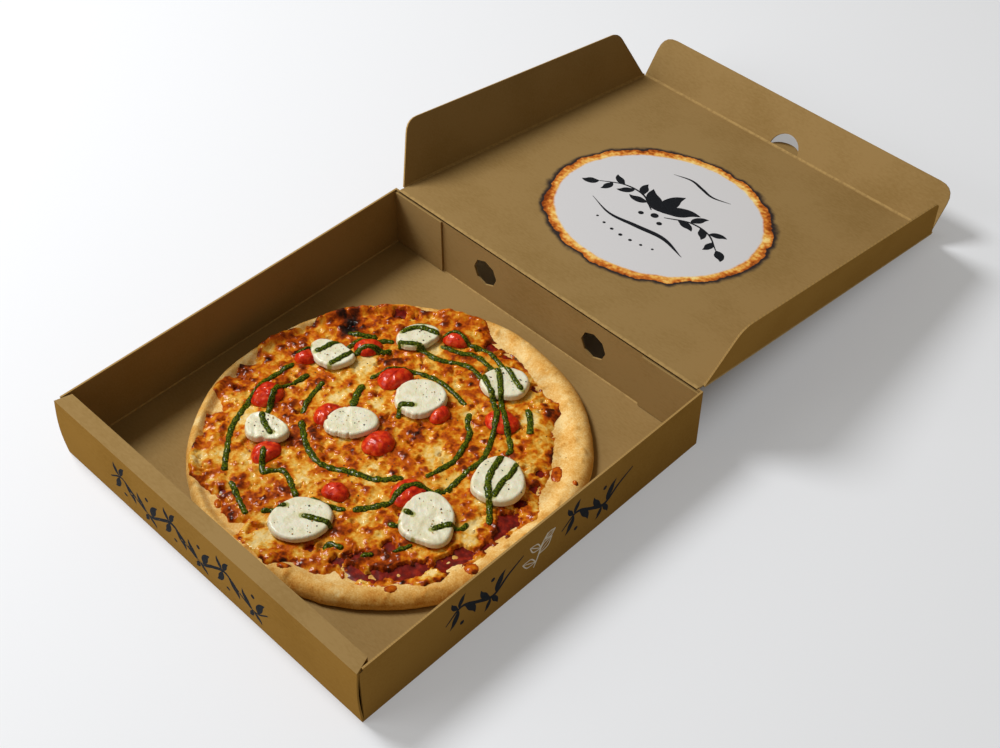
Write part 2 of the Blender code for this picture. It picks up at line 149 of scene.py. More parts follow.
def mixed(tree, share, first, second):
    """Two colours mixed by a share from 0 to 1."""
    node = add_node(tree, "Mix", data_type="RGBA")
    for socket, value in ((0, share), (6, first), (7, second)):
        if isinstance(value, bpy.types.NodeSocket):
            tree.links.new(value, node.inputs[socket])
        elif socket == 0:
            node.inputs[socket].default_value = value
        else:
            node.inputs[socket].default_value = paint(*value)
    return node.outputs[2]


def grain(tree, spot, size, detail=2.0, stretch=(1.0, 1.0, 1.0), distortion=0.0):
    """Noise whose lumps are about the given size in metres."""
    stretched = add_node(tree, "Mapping", {"Vector": spot, "Scale": stretch})
    inputs = {"Vector": stretched.outputs[0], "Scale": 1.0 / size, "Detail": detail}
    inputs["Distortion"] = distortion
    return add_node(tree, "TexNoise", inputs).outputs["Fac"]


def new_material(name, roughness=0.5, **constants):
    """A Principled material, and what is needed to build its nodes."""
    material = bpy.data.materials.new(name)
    material.use_nodes = True
    tree = material.node_tree
    shader = tree.nodes["Principled BSDF"]
    shader.inputs["Roughness"].default_value = roughness
    for key, value in constants.items():
        shader.inputs[key.replace("_", " ").title().replace("Ior", "IOR")].default_value = value
    spot = add_node(tree, "TexCoord").outputs["Object"]
    return material, tree, shader, spot


def bump(tree, shader, height, depth, strength=1.0):
    """Relief from a height of 0 to 1, that deep in metres."""
    inputs = {"Height": height, "Distance": depth, "Strength": strength}
    relief = add_node(tree, "Bump", inputs)
    tree.links.new(relief.outputs[0], shader.inputs["Normal"])


def finish(tree, shader, colour, height, depth, strength=1.0):
    """Give the shader its colour and its relief."""
    tree.links.new(colour, shader.inputs["Base Color"])
    bump(tree, shader, height, depth, strength)


def facing(tree, normal):
    """How squarely a surface faces a direction, from -1 to 1, at rest."""
    own = add_node(tree, "TexCoord").outputs["Normal"]
    inputs = {0: own, 1: normal}
    return add_node(tree, "VectorMath", inputs, operation="DOT_PRODUCT").outputs["Value"]


def kraft_colour(tree, spot, outside):
    """Cloudy brown paper with paler and darker fibres, and a deeper brown painted on the box's outer faces
    as shade.
    """
    cloud = grain(tree, spot, 60 * MM, 3.0)
    fibres = grain(tree, spot, 1.6 * MM, 3.0, stretch=(0.4, 1.0, 1.0))
    tone = sum_of(tree, times(tree, cloud, 0.6), times(tree, fibres, 0.4))
    paper = shades(tree, tone, (0.34, KRAFT_DARK), (0.55, KRAFT_LIGHT))
    # Painted shade: where outside is set, the paper turns to the darker outer brown.
    shaded_paper = shades(tree, tone, (0.34, OUTSIDE_SHADE_DARK), (0.55, OUTSIDE_SHADE_LIGHT))
    paper = mixed(tree, outside, paper, shaded_paper)
    flecks = between(tree, grain(tree, spot, 0.7 * MM, 1.0, stretch=(0.2, 1.0, 1.0)), 0.68, 0.8)
    return mixed(tree, times(tree, flecks, 0.35), paper, KRAFT_FIBRE), fibres


def finish_kraft(tree, shader, colour, fibres):
    """Matt paper: the fibres are felt more than seen."""
    finish(tree, shader, colour, fibres, 0.05 * MM, 0.35)


def cut_edge(tree, spot, colour, mask, across):
    """Where board is cut, the pale liners and the open flute show."""
    flute = add_node(tree, "TexWave", {"Vector": spot, "Scale": 0.16 / MM}, bands_direction=across)
    edge = shades(tree, flute.outputs["Fac"], (0.0, KRAFT_LIGHT), (0.45, KRAFT_EDGE))
    return mixed(tree, mask, colour, edge)


OUTWARD_LEAST = 100 * MM

tray_low, tray_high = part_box("tray")
kraft_tray, tree, shader, spot = new_material("kraft_tray", 0.8, specular_ior_level=0.0)
# The tray's outer faces take the painted shade brown.
outward = combined(tree, "GREATER_THAN", facing(tree, spot), OUTWARD_LEAST)
colour, fibres = kraft_colour(tree, spot, outward)
place = add_node(tree, "SeparateXYZ", {"Vector": spot})
beside = combined(tree, "ABSOLUTE", place.outputs["X"], 0.0)
at_side = combined(tree, "GREATER_THAN", beside, tray_high.x - 1.1 * BOARD)
at_top = combined(tree, "GREATER_THAN", place.outputs["Z"], tray_high.z - EDGE_DEPTH)
on_top = combined(tree, "GREATER_THAN", facing(tree, (0.0, 0.0, 1.0)), 0.5)
mask = times(tree, times(tree, at_side, at_top), on_top)
finish_kraft(tree, shader, cut_edge(tree, spot, colour, mask, "Y"), fibres)

frame["nodes"]["tray"].material_slots[0].material = kraft_tray


# The lid and its flaps.
# The same board, one piece with the tray: it folds back along the top of the back
# wall. Its three flaps stand up from their creases and lean out a little.

# A paler paper along the creases: a painted highlight on each fold.
CREASE_HIGHLIGHT = (176, 146, 94)
CREASE_WIDTH = 1.1 * MM
CREASE_RISE = 0.25 * MM
CORNER_WIDTH = 2.2 * MM
CORNER_RISE = 0.8 * MM
RIDGE_STEPS = 12
RIDGE_TURN = 30

joint_at = {joint["name"]: Vector(joint["pos_m"]) for joint in frame["joints"]}
hinge = joint_at["lid_hinge"]
lid_along = (joint_at["front_flap_crease"] - hinge).normalized()
lid_across = Vector((1.0, 0.0, 0.0))
lid_up = lid_across.cross(lid_along)


def board_normal(node):
    """The direction a flat board faces: the normal of its widest faces."""
    total = Vector()
    for face in frame["nodes"][node].data.polygons:
        if face.area > 0.1 * MM and face.normal.z > 0.0:
            total += face.normal * face.area
    return total.normalized()


def board_material(name, normal):
    """Kraft board with its cut edges, and what else is needed to print on it."""
    material, tree, shader, spot = new_material(name, 0.8, specular_ior_level=0.0)
    # The board's underside, the box's outside, takes the painted shade brown.
    underside = combined(tree, "LESS_THAN", facing(tree, normal), -0.5)
    colour, fibres = kraft_colour(tree, spot, underside)
    flat = combined(tree, "ABSOLUTE", facing(tree, normal), 0.0)
    mask = combined(tree, "LESS_THAN", flat, 0.5)
    board = cut_edge(tree, spot, colour, mask, "DIAGONAL")
    finish_kraft(tree, shader, board, fibres)
    return material, tree, shader, spot, board


for node in ("lid_front_flap", "lid_left_flap", "lid_right_flap"):
    flap_kraft = board_material("kraft_" + node, board_normal(node))[0]
    frame["nodes"][node].material_slots[0].material = flap_kraft


def link(piece):
    """Put an object in the scene."""
    bpy.context.scene.collection.objects.link(piece)
    return piece


def ring_faces(rings, first=0, closed=True):
    """Faces over rings of points numbered on from first, with the ends filled if closed."""
    size = len(rings[0])
    faces = []
    for low in range(first, first + size * (len(rings) - 1), size):
        for index in range(size if closed else size - 1):
            after = (index + 1) % size
            faces.append((low + index, low + after, low + size + after, low + size + index))
    if closed:
        last = first + size * (len(rings) - 1)
        faces.append(tuple(range(first, first + size))[::-1])
        faces.append(tuple(range(last, last + size)))
    return faces


def lofted(name, rings, material, closed=True, smooth=True):
    """A skin over rings of points that all have the same number, with its ends filled."""
    points = [tuple(point) for ring in rings for point in ring]
    faces = ring_faces(rings, closed=closed)
    mesh = bpy.data.meshes.new(name)
    mesh.from_pydata(points, [], faces)
    mesh.validate()
    if smooth:
        mesh.shade_smooth()
        mesh.set_sharp_from_angle(angle=math.radians(50))
    mesh.materials.append(material)
    return link(bpy.data.objects.new(name, mesh))


def crease_line(name, start, end, up, material, width=CREASE_WIDTH, rise=CREASE_RISE):
    """A low rounded ridge along a crease, its paper painted pale as a highlight along the fold."""
    along = (end - start).normalized()
    side = along.cross(up).normalized()
    turns = [math.radians(turn) for turn in range(0, 360, RIDGE_TURN)]
    section = [(math.cos(turn) * width / 2, math.sin(turn) * rise) for turn in turns]
    rings = []
    for step in range(RIDGE_STEPS + 1):
        middle = start.lerp(end, step / RIDGE_STEPS)
        rings.append([middle + side * across + up * above for across, above in section])
    return lofted(name, rings, material)


# Painted highlight: the crease paper is paler than the board and stands for the light caught along each
# fold.
crease_highlight_paper, tree, shader, spot = new_material("crease_highlight_paper", 0.8, specular_ior_level=0.0)
highlight_tone = grain(tree, spot, 3.0 * MM, 3.0)
colour = shades(tree, highlight_tone, (0.3, KRAFT_LIGHT), (0.6, CREASE_HIGHLIGHT))
finish(tree, shader, colour, highlight_tone, 0.05 * MM)


# The creases.
# Every fold of the blank is a pressed line. Where it bends, the brown paper runs on
# over the fold from one board to the other, painted paler as a highlight along the fold.

FOLD_REACH = 1.5 * MM
FOLD_SKIN = 0.08 * MM
FOLD_END_GAP = 0.6 * MM
FOLD_STEPS = 32
SIDE_FOLD_START = 6.0 * MM
TRAY_FOLD_START = 16.0 * MM

half_lid = joint_at["right_flap_crease"].x
lid_length = (joint_at["front_flap_crease"] - hinge).length
inner_edge = tray_high.x - BOARD


def fold_strip(name, start, end, first, second, material):
    """Paper round a fold. First and second give each board's way from the fold and inner face."""
    inner = (first[1] + second[1]).normalized()
    outer = inner * -(BOARD / first[1].dot(inner) + FOLD_SKIN)
    rings = []
    for step in range(FOLD_STEPS + 1):
        middle = start.lerp(end, step / FOLD_STEPS)
        near, far = [middle + way * FOLD_REACH for way, face in (first, second)]
        rings.append([
            near + first[1] * FOLD_SKIN,
            middle + inner * 2 * FOLD_SKIN,
            far + second[1] * FOLD_SKIN,
            far - second[1] * (BOARD + FOLD_SKIN),
            middle + outer,
            near - first[1] * (BOARD + FOLD_SKIN),
        ])
    strip = lofted(name, rings, material, smooth=False)
    return strip


edge_reach = lid_across * (half_lid - FOLD_END_GAP)
wall_top = (Vector((0.0, -1.0, 0.0)), Vector((0.0, 0.0, 1.0)))
lid_board = (lid_along, lid_up)
lid_ends = (hinge - edge_reach, hinge + edge_reach)
lid_strip = fold_strip("lid_crease", *lid_ends, wall_top, lid_board, crease_highlight_paper)
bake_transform(lid_strip)

side_start = lid_along * SIDE_FOLD_START
side_end = lid_along * (lid_length - FOLD_END_GAP)
for word, out, start, end in (
    ("front", lid_along, -edge_reach, edge_reach),
    ("left", -lid_across, side_start, side_end),
    ("right", lid_across, side_start, side_end),
):
    crease = joint_at[f"{word}_flap_crease"]
    face = board_normal(f"lid_{word}_flap")
    face = face if face.dot(out) < 0.0 else -face
    rise = face.cross((end - start).normalized())
    rise = rise if rise.dot(out) > 0.0 else -rise
    flap_board = (rise, face)
    name = f"{word}_flap_strip"
    strip = fold_strip(name, crease + start, crease + end, (-out, lid_up), flap_board, crease_highlight_paper)
    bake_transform(strip)

tray_folds = (
    ((-inner_edge, tray_high.y - BOARD), (inner_edge, tray_high.y - BOARD), (0.0, -1.0, 1.0)),
    ((inner_edge, tray_low.y + TRAY_FOLD_START), (inner_edge, tray_high.y - BOARD), (-1.0, 0.0, 1.0)),
    ((-inner_edge, tray_low.y + TRAY_FOLD_START), (-inner_edge, tray_high.y - BOARD), (1.0, 0.0, 1.0)),
)
for number, (start, end, up) in enumerate(tray_folds, start=1):
    start, end = Vector((*start, BOARD)), Vector((*end, BOARD))
    out = Vector(up).normalized()
    line = crease_line(f"tray_crease_{number}", start, end, out, crease_highlight_paper, CORNER_WIDTH, CORNER_RISE)
    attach(line, "base")


# The print inside the lid.
# A pale round panel inside a printed ring that looks like baked crust, with a soft
# dark outline, and a plain sprig in dark ink. Flat ink on the board, no relief.

BADGE_ACROSS = -3.0 * MM
BADGE_ALONG = 150.0 * MM
DISC_RADIUS = 87.0 * MM
RING_RADIUS = 96.0 * MM
OUTLINE_WIDTH = 6.0 * MM

badge_middle = hinge + lid_across * BADGE_ACROSS + lid_along * BADGE_ALONG
badge_board, tree, shader, spot, board = board_material("kraft_lid_panel", lid_up)
from_middle = add_node(tree, "VectorMath", {0: spot, 1: badge_middle}, operation="SUBTRACT")
from_middle = from_middle.outputs[0]
reach = add_node(tree, "VectorMath", {0: from_middle}, operation="LENGTH").outputs["Value"]
lobes = sum_of(tree, grain(tree, spot, 16 * MM, 3.0), -0.5)
ragged = sum_of(tree, reach, times(tree, lobes, 12 * MM))
inner = sum_of(tree, reach, times(tree, lobes, 4 * MM))
outline = between(tree, ragged, RING_RADIUS + OUTLINE_WIDTH, RING_RADIUS + 1.5 * MM)
ring = between(tree, ragged, RING_RADIUS + 0.6 * MM, RING_RADIUS)
disc = between(tree, inner, DISC_RADIUS + 2.4 * MM, DISC_RADIUS)
baked = sum_of(tree, grain(tree, spot, 4 * MM, 4.0), grain(tree, spot, 45 * MM, 1.0))
baked = times(tree, baked, 0.5)
rimward = between(tree, ragged, DISC_RADIUS + 3 * MM, RING_RADIUS)
baked = sum_of(tree, baked, times(tree, rimward, 0.16))
crust_print = shades(
    tree,
    baked,
    (0.36, (252, 228, 152)),
    (0.48, (240, 184, 92)),
    (0.6, (208, 118, 46)),
    (0.74, (136, 62, 24)),
)
printed = mixed(tree, times(tree, outline, 0.93), board, (38, 36, 44))
printed = mixed(tree, ring, printed, crust_print)
printed = mixed(tree, disc, printed, (216, 217, 222))
inner_face = combined(tree, "GREATER_THAN", facing(tree, lid_up), 0.5)
tree.links.new(mixed(tree, inner_face, board, printed), shader.inputs["Base Color"])
frame["nodes"]["lid_panel"].material_slots[0].material = badge_board

INK_RISE = 0.02 * MM
INK_STEP = 0.0006 * MM
LEAF_SHRINK = 0.25
TIP_LEAF = 0.8


def curve_through(points, steps=8):
    """A smooth curve through the points, as an array with that many steps to a span."""
    points = np.array(points, float)
    padded = np.vstack([2 * points[0] - points[1], points, 2 * points[-1] - points[-2]])
    curve = []
    for before, start, end, after in zip(padded, padded[1:], padded[2:], padded[3:]):
        for share in np.arange(steps) / steps:
            slope = (end - before) * share + (2 * before - 5 * start + 4 * end - after) * share**2
            bend = (3 * start - before - 3 * end + after) * share**3
            curve.append(start + (slope + bend) / 2)
    return np.array(curve + [points[-1]])


def directions(path):
    """Which way a path runs at each of its points, as unit steps."""
    ways = np.gradient(path, axis=0)
    return ways / np.linalg.norm(ways, axis=1)[:, None]


def heading_of(way):
    """Which way a step points, in degrees."""
    return math.degrees(math.atan2(way[1], way[0]))


def pen_stroke(points, width, tip=0.15, swell=0.5):
    """A drawn line as a strip of (left, right) pairs: thin at its ends and widest at swell."""
    path = curve_through(points)
    ways = directions(path)
    sides = np.stack([-ways[:, 1], ways[:, 0]], axis=1)
    share = np.linspace(0.0, 1.0, len(path))
    fullness = np.sin(math.pi * share ** (math.log(0.5) / math.log(swell)))
    half = width / 2 * (tip + (1.0 - tip) * np.clip(fullness, 0.0, 1.0))[:, None]
    return path + sides * half, path - sides * half


def leaf(base, heading, length, width):
    """A pointed leaf with a gentle bend."""
    angle = math.radians(heading)
    way = np.array([math.cos(angle), math.sin(angle)])
    side = np.array([-way[1], way[0]])
    base = np.array(base, float)
    middle = base + way * length / 2 + side * length * 0.08
    near, far = (base + middle) / 2 + side * length * 0.03, middle + way * length / 4
    return pen_stroke([base, near, middle, far, base + way * length], width, 0.02, 0.45)


def berry(centre, size):
    """A round dot, as a short fat stroke."""
    turns = np.radians(np.arange(0, 181, 15))
    x, y = centre
    across, up = size / 2 * np.cos(turns), size / 2 * np.sin(turns)
    return np.stack([x + across, y + up], axis=1), np.stack([x + across, y - up], axis=1)


def ink_print(name, strokes, place, out, material):
    """Strips of ink on a board that faces out: place turns mm on the print into a point."""
    points, faces = [], []
    for number, (left, right) in enumerate(strokes):
        first = len(points)
        rise = Vector(out) * (INK_RISE + INK_STEP * number)
        for pair in zip(left, right):
            points += [place(*pair[0]) + rise, place(*pair[1]) + rise]
        for step in range(len(left) - 1):
            at = first + 2 * step
            faces.append((at, at + 2, at + 3, at + 1))
    mesh = bpy.data.meshes.new(name)
    mesh.from_pydata([tuple(point) for point in points], [], faces)
    mesh.materials.append(material)
    return link(bpy.data.objects.new(name, mesh))


def ink(name, colour):
    """Flat ink that lets a little of the paper's unevenness through."""
    material, tree, shader, spot = new_material(name, 0.85, specular_ior_level=0.1)
    thin = grain(tree, spot, 1.2 * MM, 2.0)
    faded = tuple(min(255, value + 14) for value in colour)
    tree.links.new(shades(tree, thin, (0.45, colour), (0.8, faded)), shader.inputs["Base Color"])
    return material


dark_ink = ink("dark_ink", (24, 27, 32))
pale_ink = ink("pale_ink", (205, 196, 178))


def sprig(stem, leaf_length, leaf_width, every, spread=48.0, first_side=1):
    """A stem with leaves by turns on either side and one at its tip."""
    strokes = [pen_stroke(stem, 2.0, 0.5, 0.4)]
    path = curve_through(stem)
    side = first_side
    for step in range(every, len(path) - 2, every):
        heading = heading_of(path[step + 1] - path[step - 1]) + side * spread
        size = 1.0 - LEAF_SHRINK * step / len(path)
        strokes.append(leaf(path[step], heading, leaf_length * size, leaf_width * size))
        side = -side
    tip_heading = heading_of(path[-1] - path[-3])
    strokes.append(leaf(path[-1], tip_heading, leaf_length * TIP_LEAF, leaf_width))
    return strokes


def in_lid(across, along):
    """A place on the lid's inner face, in mm from the middle of the round panel."""
    return badge_middle + lid_across * across * MM + lid_along * along * MM


badge_strokes = sprig([(-7, -2), (-26, 10), (-46, 9), (-64, -4)], 19, 8.5, 4)
badge_strokes += sprig([(7, -2), (26, 10), (46, 9), (64, -4)], 19, 8.5, 4, first_side=-1)
for heading in (40, 90, 140):
    badge_strokes.append(leaf((0, 2), heading, 34, 14))
badge_strokes += [berry((0, -6), 7.0), berry((-10, -12), 5.0), berry((10, -12), 5.0)]
badge_strokes.append(pen_stroke([(-52, -26), (-26, -34), (0, -30), (26, -26), (52, -34)], 5.0, 0.1, 0.6))
for across in (-30, -20, -10, 0, 10, 20, 30):
    badge_strokes.append(berry((across, -50 + 0.006 * across**2), 3.6 - 0.04 * abs(across)))
badge_strokes.append(pen_stroke([(-30, 56), (-14, 61), (0, 58), (14, 55), (30, 60)], 3.0))
badge_print = ink_print("badge_print", badge_strokes, in_lid, lid_up, dark_ink)
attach(badge_print, "lid")


# The print on the walls.
# A running vine in dark ink along the front wall and the right wall, with a small
# sprig in pale line in the middle of the right wall. One pass of flat ink each.

WALL_MIDDLE = 29.0 * MM
VINE_SWING = 8.5
VINE_WAVE = 58.0

tray_skin = BVHTree.FromObject(frame["nodes"]["tray"], bpy.context.evaluated_depsgraph_get())


def on_front_wall(across, up):
    """A place on the front wall's bowed face, in mm from its middle."""
    start = Vector((across * MM, tray_low.y - 50 * MM, WALL_MIDDLE + up * MM))
    return tray_skin.ray_cast(start, Vector((0.0, 1.0, 0.0)))[0]


def on_right_wall(along, up):
    """A place on the right wall's outer face, in mm from its middle."""
    return Vector((tray_high.x, (tray_low.y + tray_high.y) / 2 + along * MM, WALL_MIDDLE + up * MM))


def vine(start, end):
    """A wavy stem with a pair of leaves and a spray of berries at each swing."""
    count = int((end - start) / (VINE_WAVE / 4))
    stem = []
    for step in range(count + 1):
        along = start + (end - start) * step / count
        stem.append((along, VINE_SWING * math.sin(math.tau * (along - start) / VINE_WAVE)))
    strokes = [pen_stroke(stem, 3.2, 0.4, 0.5)]
    for step in range(1, count, 2):
        along, up = stem[step]
        side = math.copysign(1.0, up)
        strokes.append(leaf((along - 2, up), 62 * side, 13, 4.6))
        strokes.append(leaf((along - 3, up), 118 * side, 12, 4.2))
        strokes.append(leaf((along + 3, up - side), -62 * side, 20, 6.2))
        strokes.append(leaf((along - 3, up - side), -118 * side, 18, 5.4))
        strokes.append(berry((along, up - 18 * side), 3.8))
    return strokes


out_front, out_right = (0.0, -1.0, 0.0), (1.0, 0.0, 0.0)
front_print = ink_print("front_print", vine(-100, 76), on_front_wall, out_front, dark_ink)
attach(front_print, "base")

side_vines = vine(-92, -18) + vine(20, 94)
right_print = ink_print("right_print", side_vines, on_right_wall, out_right, dark_ink)
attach(right_print, "base")

PALE_LEAVES = (((-6, -10), 150, 15), ((-3, -4), 35, 16), ((-1, 1), 140, 14), ((3, 7), 20, 11))
pale_strokes = [pen_stroke([(-8, -15), (-3, -4), (0, 4), (6, 12)], 1.6, 0.6)]
for base, heading, length in PALE_LEAVES:
    angle = math.radians(heading)
    way, side = (math.cos(angle), math.sin(angle)), (-math.sin(angle), math.cos(angle))
    tip = (base[0] + way[0] * length, base[1] + way[1] * length)
    for bulge in (0.24, -0.24):
        middle = [base[i] + way[i] * length / 2 + side[i] * length * bulge for i in (0, 1)]
        pale_strokes.append(pen_stroke([base, middle, tip], 1.1, 0.8))
    pale_strokes.append(pen_stroke([base, tip], 0.8, 0.6))
pale_print = ink_print("pale_print", pale_strokes, on_right_wall, out_right, pale_ink)
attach(pale_print, "base")


# The crust.
# Wheat dough, stretched by hand and baked on a stone: a wide bare rim that is pale
# gold with browner patches, a little blistered, and dusty with flour in the hollows.

CREST_SHARE = 0.45
EDGE_SHARE = 0.45
RIM_LEAST = 12.0
LAYER_GAP = 0.65
CRUST_TURNS = 960
CRUST_PITCH = 0.8
CRUST_SIDE = ((0.35, 0.78), (0.45, 0.55), (0.2, 0.32), (-0.6, 0.12), (-2.0, 0.02), (-6.0, 0.0))
UNDER_CHEESE = 9.0
DARKER_AT = 305.0

crust_low, crust_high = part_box("pizza_crust")
cheese_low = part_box("cheese_layer")[0]
pizza_middle = (crust_low + crust_high) / 2
pizza_middle.z = crust_low.z
rim_height = (crust_high.z - crust_low.z) / MM
dough_height = (cheese_low.z - crust_low.z) / MM - LAYER_GAP
edge_height = EDGE_SHARE * rim_height


def places_of(piece):
    """Where a mesh's points lie, x and y in mm from the pizza's middle."""
    points = np.array([vertex.co[:2] for vertex in piece.data.vertices])
    return ((points - np.array(pizza_middle[:2])) / MM).T


def outline_radii(node):
    """How far a node reaches from the pizza's middle, in mm, for each degree of bearing."""
    x, y = places_of(frame["nodes"][node])
    reach = np.hypot(x, y)
    bearings = np.degrees(np.arctan2(y, x))
    found = []
    for degree in range(360):
        away = np.abs((bearings - degree + 180.0) % 360.0 - 180.0)
        found.append(reach[away < 3.6].max())
    found = np.array(found * 3)
    window = np.hanning(9)
    return np.convolve(found, window / window.sum(), "same")[360:721]


crust_radii = outline_radii("pizza_crust")
cheese_radii = outline_radii("cheese_layer")


def at_bearing(radii, bearing):
    """An outline's radius at any bearing in degrees."""
    return np.interp(bearing % 360.0, np.arange(361), radii)


def smooth(share):
    """An S-shaped rise from 0 to 1."""
    share = np.clip(share, 0.0, 1.0)
    return share * share * (3.0 - 2.0 * share)


def rough(x, y, size, octaves=3, seed=0.0, ridged=False):
    """Noise from about -1 to 1 over places in mm, with lumps about that size in mm."""
    values = []
    for a, b in zip(np.ravel(x), np.ravel(y)):
        spot = Vector((a / size, b / size, seed))
        if ridged:
            values.append(noise.ridged_multi_fractal(spot, 0.9, 2.1, octaves, 1.0, 2.0) - 1.0)
        else:
            values.append(noise.fractal(spot, 0.9, 2.1, octaves))
    return np.array(values).reshape(np.shape(x))


def crust_surface(x, y):
    """The dough's height in mm above the pizza's underside, without its fine relief."""
    bearing = np.degrees(np.arctan2(y, x))
    edge = at_bearing(crust_radii, bearing)
    rim = np.maximum(edge - at_bearing(cheese_radii, bearing), RIM_LEAST)
    share = (edge - np.hypot(x, y)) / rim
    inner = dough_height + (rim_height - dough_height) * smooth((1.0 - share) / (1.0 - CREST_SHARE))
    fall = 1.0 - np.clip(share, 0.0, CREST_SHARE) / CREST_SHARE
    outer = rim_height - (rim_height - edge_height) * fall**3
    return np.where(share >= CREST_SHARE, inner, outer)


def on_pizza(x, y, height):
    """Places on the pizza in the row's frame, from mm about its middle."""
    shape = np.broadcast(x, y, height).shape
    flat = [np.broadcast_to(value, shape).ravel() * MM for value in (x, y, height)]
    return np.stack(flat, axis=-1) + np.array(pizza_middle)


def add_values(piece, **fields):
    """Store named values from 0 to 1 on a mesh's points, for its material to read."""
    for name, values in fields.items():
        layer = piece.data.attributes.new(name, "FLOAT", "POINT")
        layer.data.foreach_set("value", np.clip(values, 0.0, 1.0).astype(np.float32))


def stored(tree, name):
    """The shader's reading of a value stored on the points."""
    return add_node(tree, "Attribute", attribute_name=name).outputs["Fac"]


turns = np.radians(np.arange(CRUST_TURNS) * 360.0 / CRUST_TURNS)
turn_bearings = np.degrees(turns)
crust_edge = at_bearing(crust_radii, turn_bearings)
cheese_edge = at_bearing(cheese_radii, turn_bearings)
ruffle = rough(120 * np.cos(turns), 120 * np.sin(turns), 11.0, 3, 4.0)
crust_edge = crust_edge + 0.5 * ruffle - 0.3
hidden_edge = cheese_edge - UNDER_CHEESE
top_rings = int((crust_edge - hidden_edge).mean() / CRUST_PITCH)
near_front = smooth(np.cos(turns - math.radians(DARKER_AT)) * 1.4 - 0.2)
crust_rings = []
crust_browned = []
for ring in range(top_rings + 1):
    share = ring / top_rings
    reach = hidden_edge + (crust_edge - hidden_edge) * share
    x, y = reach * np.cos(turns), reach * np.sin(turns)
    height = crust_surface(x * 0.999, y * 0.999)
    lumps = 0.45 * rough(x, y, 13.0, 2, 1.0) + 0.16 * rough(x, y, 3.4, 3, 2.0)
    blister = np.clip(rough(x, y, 9.0, 2, 9.0) - 0.25, 0.0, 1.0) * 2.0
    relief = (lumps + blister) * smooth((crust_edge - reach) / 4.0)
    crust_rings.append((x, y, height + relief))
    rim = np.maximum(crust_edge - cheese_edge, RIM_LEAST)
    outer_toast = np.exp(-(((crust_edge - reach) / (0.5 * rim)) ** 2)) * (0.65 + 0.35 * near_front)
    browned = 0.14 + 0.26 * rough(x, y, 14.0, 3, 5.0) + 0.08 * rough(x, y, 3.2, 2, 6.0)
    crust_browned.append(browned + 0.24 * outer_toast + 0.2 * blister)
for outward, height in CRUST_SIDE:
    reach = crust_edge + outward
    x, y = reach * np.cos(turns), reach * np.sin(turns)
    crust_rings.append((x, y, np.full_like(x, edge_height * height)))
    crust_browned.append(0.14 + 0.14 * near_front + 0.12 * rough(x, y, 8.0, 2, 7.0))

crust_dough, tree, shader, spot = new_material("crust_dough", 0.75, specular_ior_level=0.15)
speckle = grain(tree, spot, 1.3 * MM, 3.0)
freckle = between(tree, grain(tree, spot, 1.9 * MM, 2.0), 0.56, 0.7)
tone = times(tree, sum_of(tree, speckle, -0.5), 0.7)
tone = sum_of(tree, stored(tree, "browned"), tone)
tone = sum_of(tree, tone, times(tree, freckle, 0.07))
colour = shades(
    tree,
    tone,
    (0.0, (240, 210, 146)),
    (0.22, (228, 182, 104)),
    (0.42, (214, 158, 74)),
    (0.66, (190, 118, 36)),
    (1.0, (104, 52, 20)),
)
finish(tree, shader, colour, speckle, 0.4 * MM, 0.4)

crust = lofted("crust", [on_pizza(*ring) for ring in crust_rings], crust_dough)
add_values(crust, browned=np.concatenate(crust_browned))
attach(crust, "base")
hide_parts("pizza_crust")


# The tomato sauce.
# Crushed tomato, spread thin right up to the bare rim and baked: dark red, wet and
# lumpy. It shows where the cheese has drawn back from it.

GRID_PITCH = 0.82
GRID_REACH = 153.0

TOPPING_EDGE = (
    # bearing and distance of the outermost sauce or cheese
    (0, 125), (6, 126), (10, 130), (13, 129), (17, 122), (25, 121), (30, 122), (38, 121), (50, 121),
    (54, 125), (57, 131), (62, 131), (66, 125), (75, 125), (81, 126), (86, 129), (92, 128), (99, 131),
    (103, 137), (106, 144), (110, 144), (113, 147), (119, 147), (122, 138), (127, 138), (131, 144),
    (140, 146), (150, 148), (160, 148), (163, 140), (168, 140), (174, 146), (178, 150), (183, 147),
    (186, 139), (189, 137), (192, 143), (196, 140), (200, 147), (205, 148), (207, 138), (211, 133),
    (214, 143), (221, 142), (227, 146), (233, 150), (238, 150), (243, 141), (249, 132), (254, 136),
    (259, 134), (262, 126), (265, 139), (272, 139), (280, 141), (285, 129), (295, 129), (299, 123),
    (303, 129), (309, 134), (316, 134), (322, 132), (327, 138), (332, 137), (336, 128), (341, 129),
    (344, 129), (347, 128), (354, 124),
)
SAUCE_LEFT_BARE = 2.0
FILM_UNDERSIDE = 0.5 * MM

cells = np.arange(-GRID_REACH, GRID_REACH + GRID_PITCH, GRID_PITCH)
grid_x, grid_y = np.meshgrid(cells, cells)
grid_bearing = np.degrees(np.arctan2(grid_y, grid_x))
grid_radius = np.hypot(grid_x, grid_y)
dough_top = crust_surface(grid_x, grid_y)
edge_bearings, edge_reaches = zip(*TOPPING_EDGE)
topping_edge = np.interp(grid_bearing % 360.0, edge_bearings, edge_reaches, period=360.0)


def round_place(bearing, distance):
    """A place in mm from the pizza's middle, from a bearing in degrees and a distance."""
    angle = math.radians(bearing)
    return distance * math.cos(angle), distance * math.sin(angle)


def soft_spots(*places):
    """For (x, y, size, amount) in mm about the pizza's middle: soft round spots, added up."""
    total = np.zeros_like(grid_x)
    for x, y, size, amount in places:
        total += amount * np.exp(-(((grid_x - x) ** 2 + (grid_y - y) ** 2) / size**2))
    return total


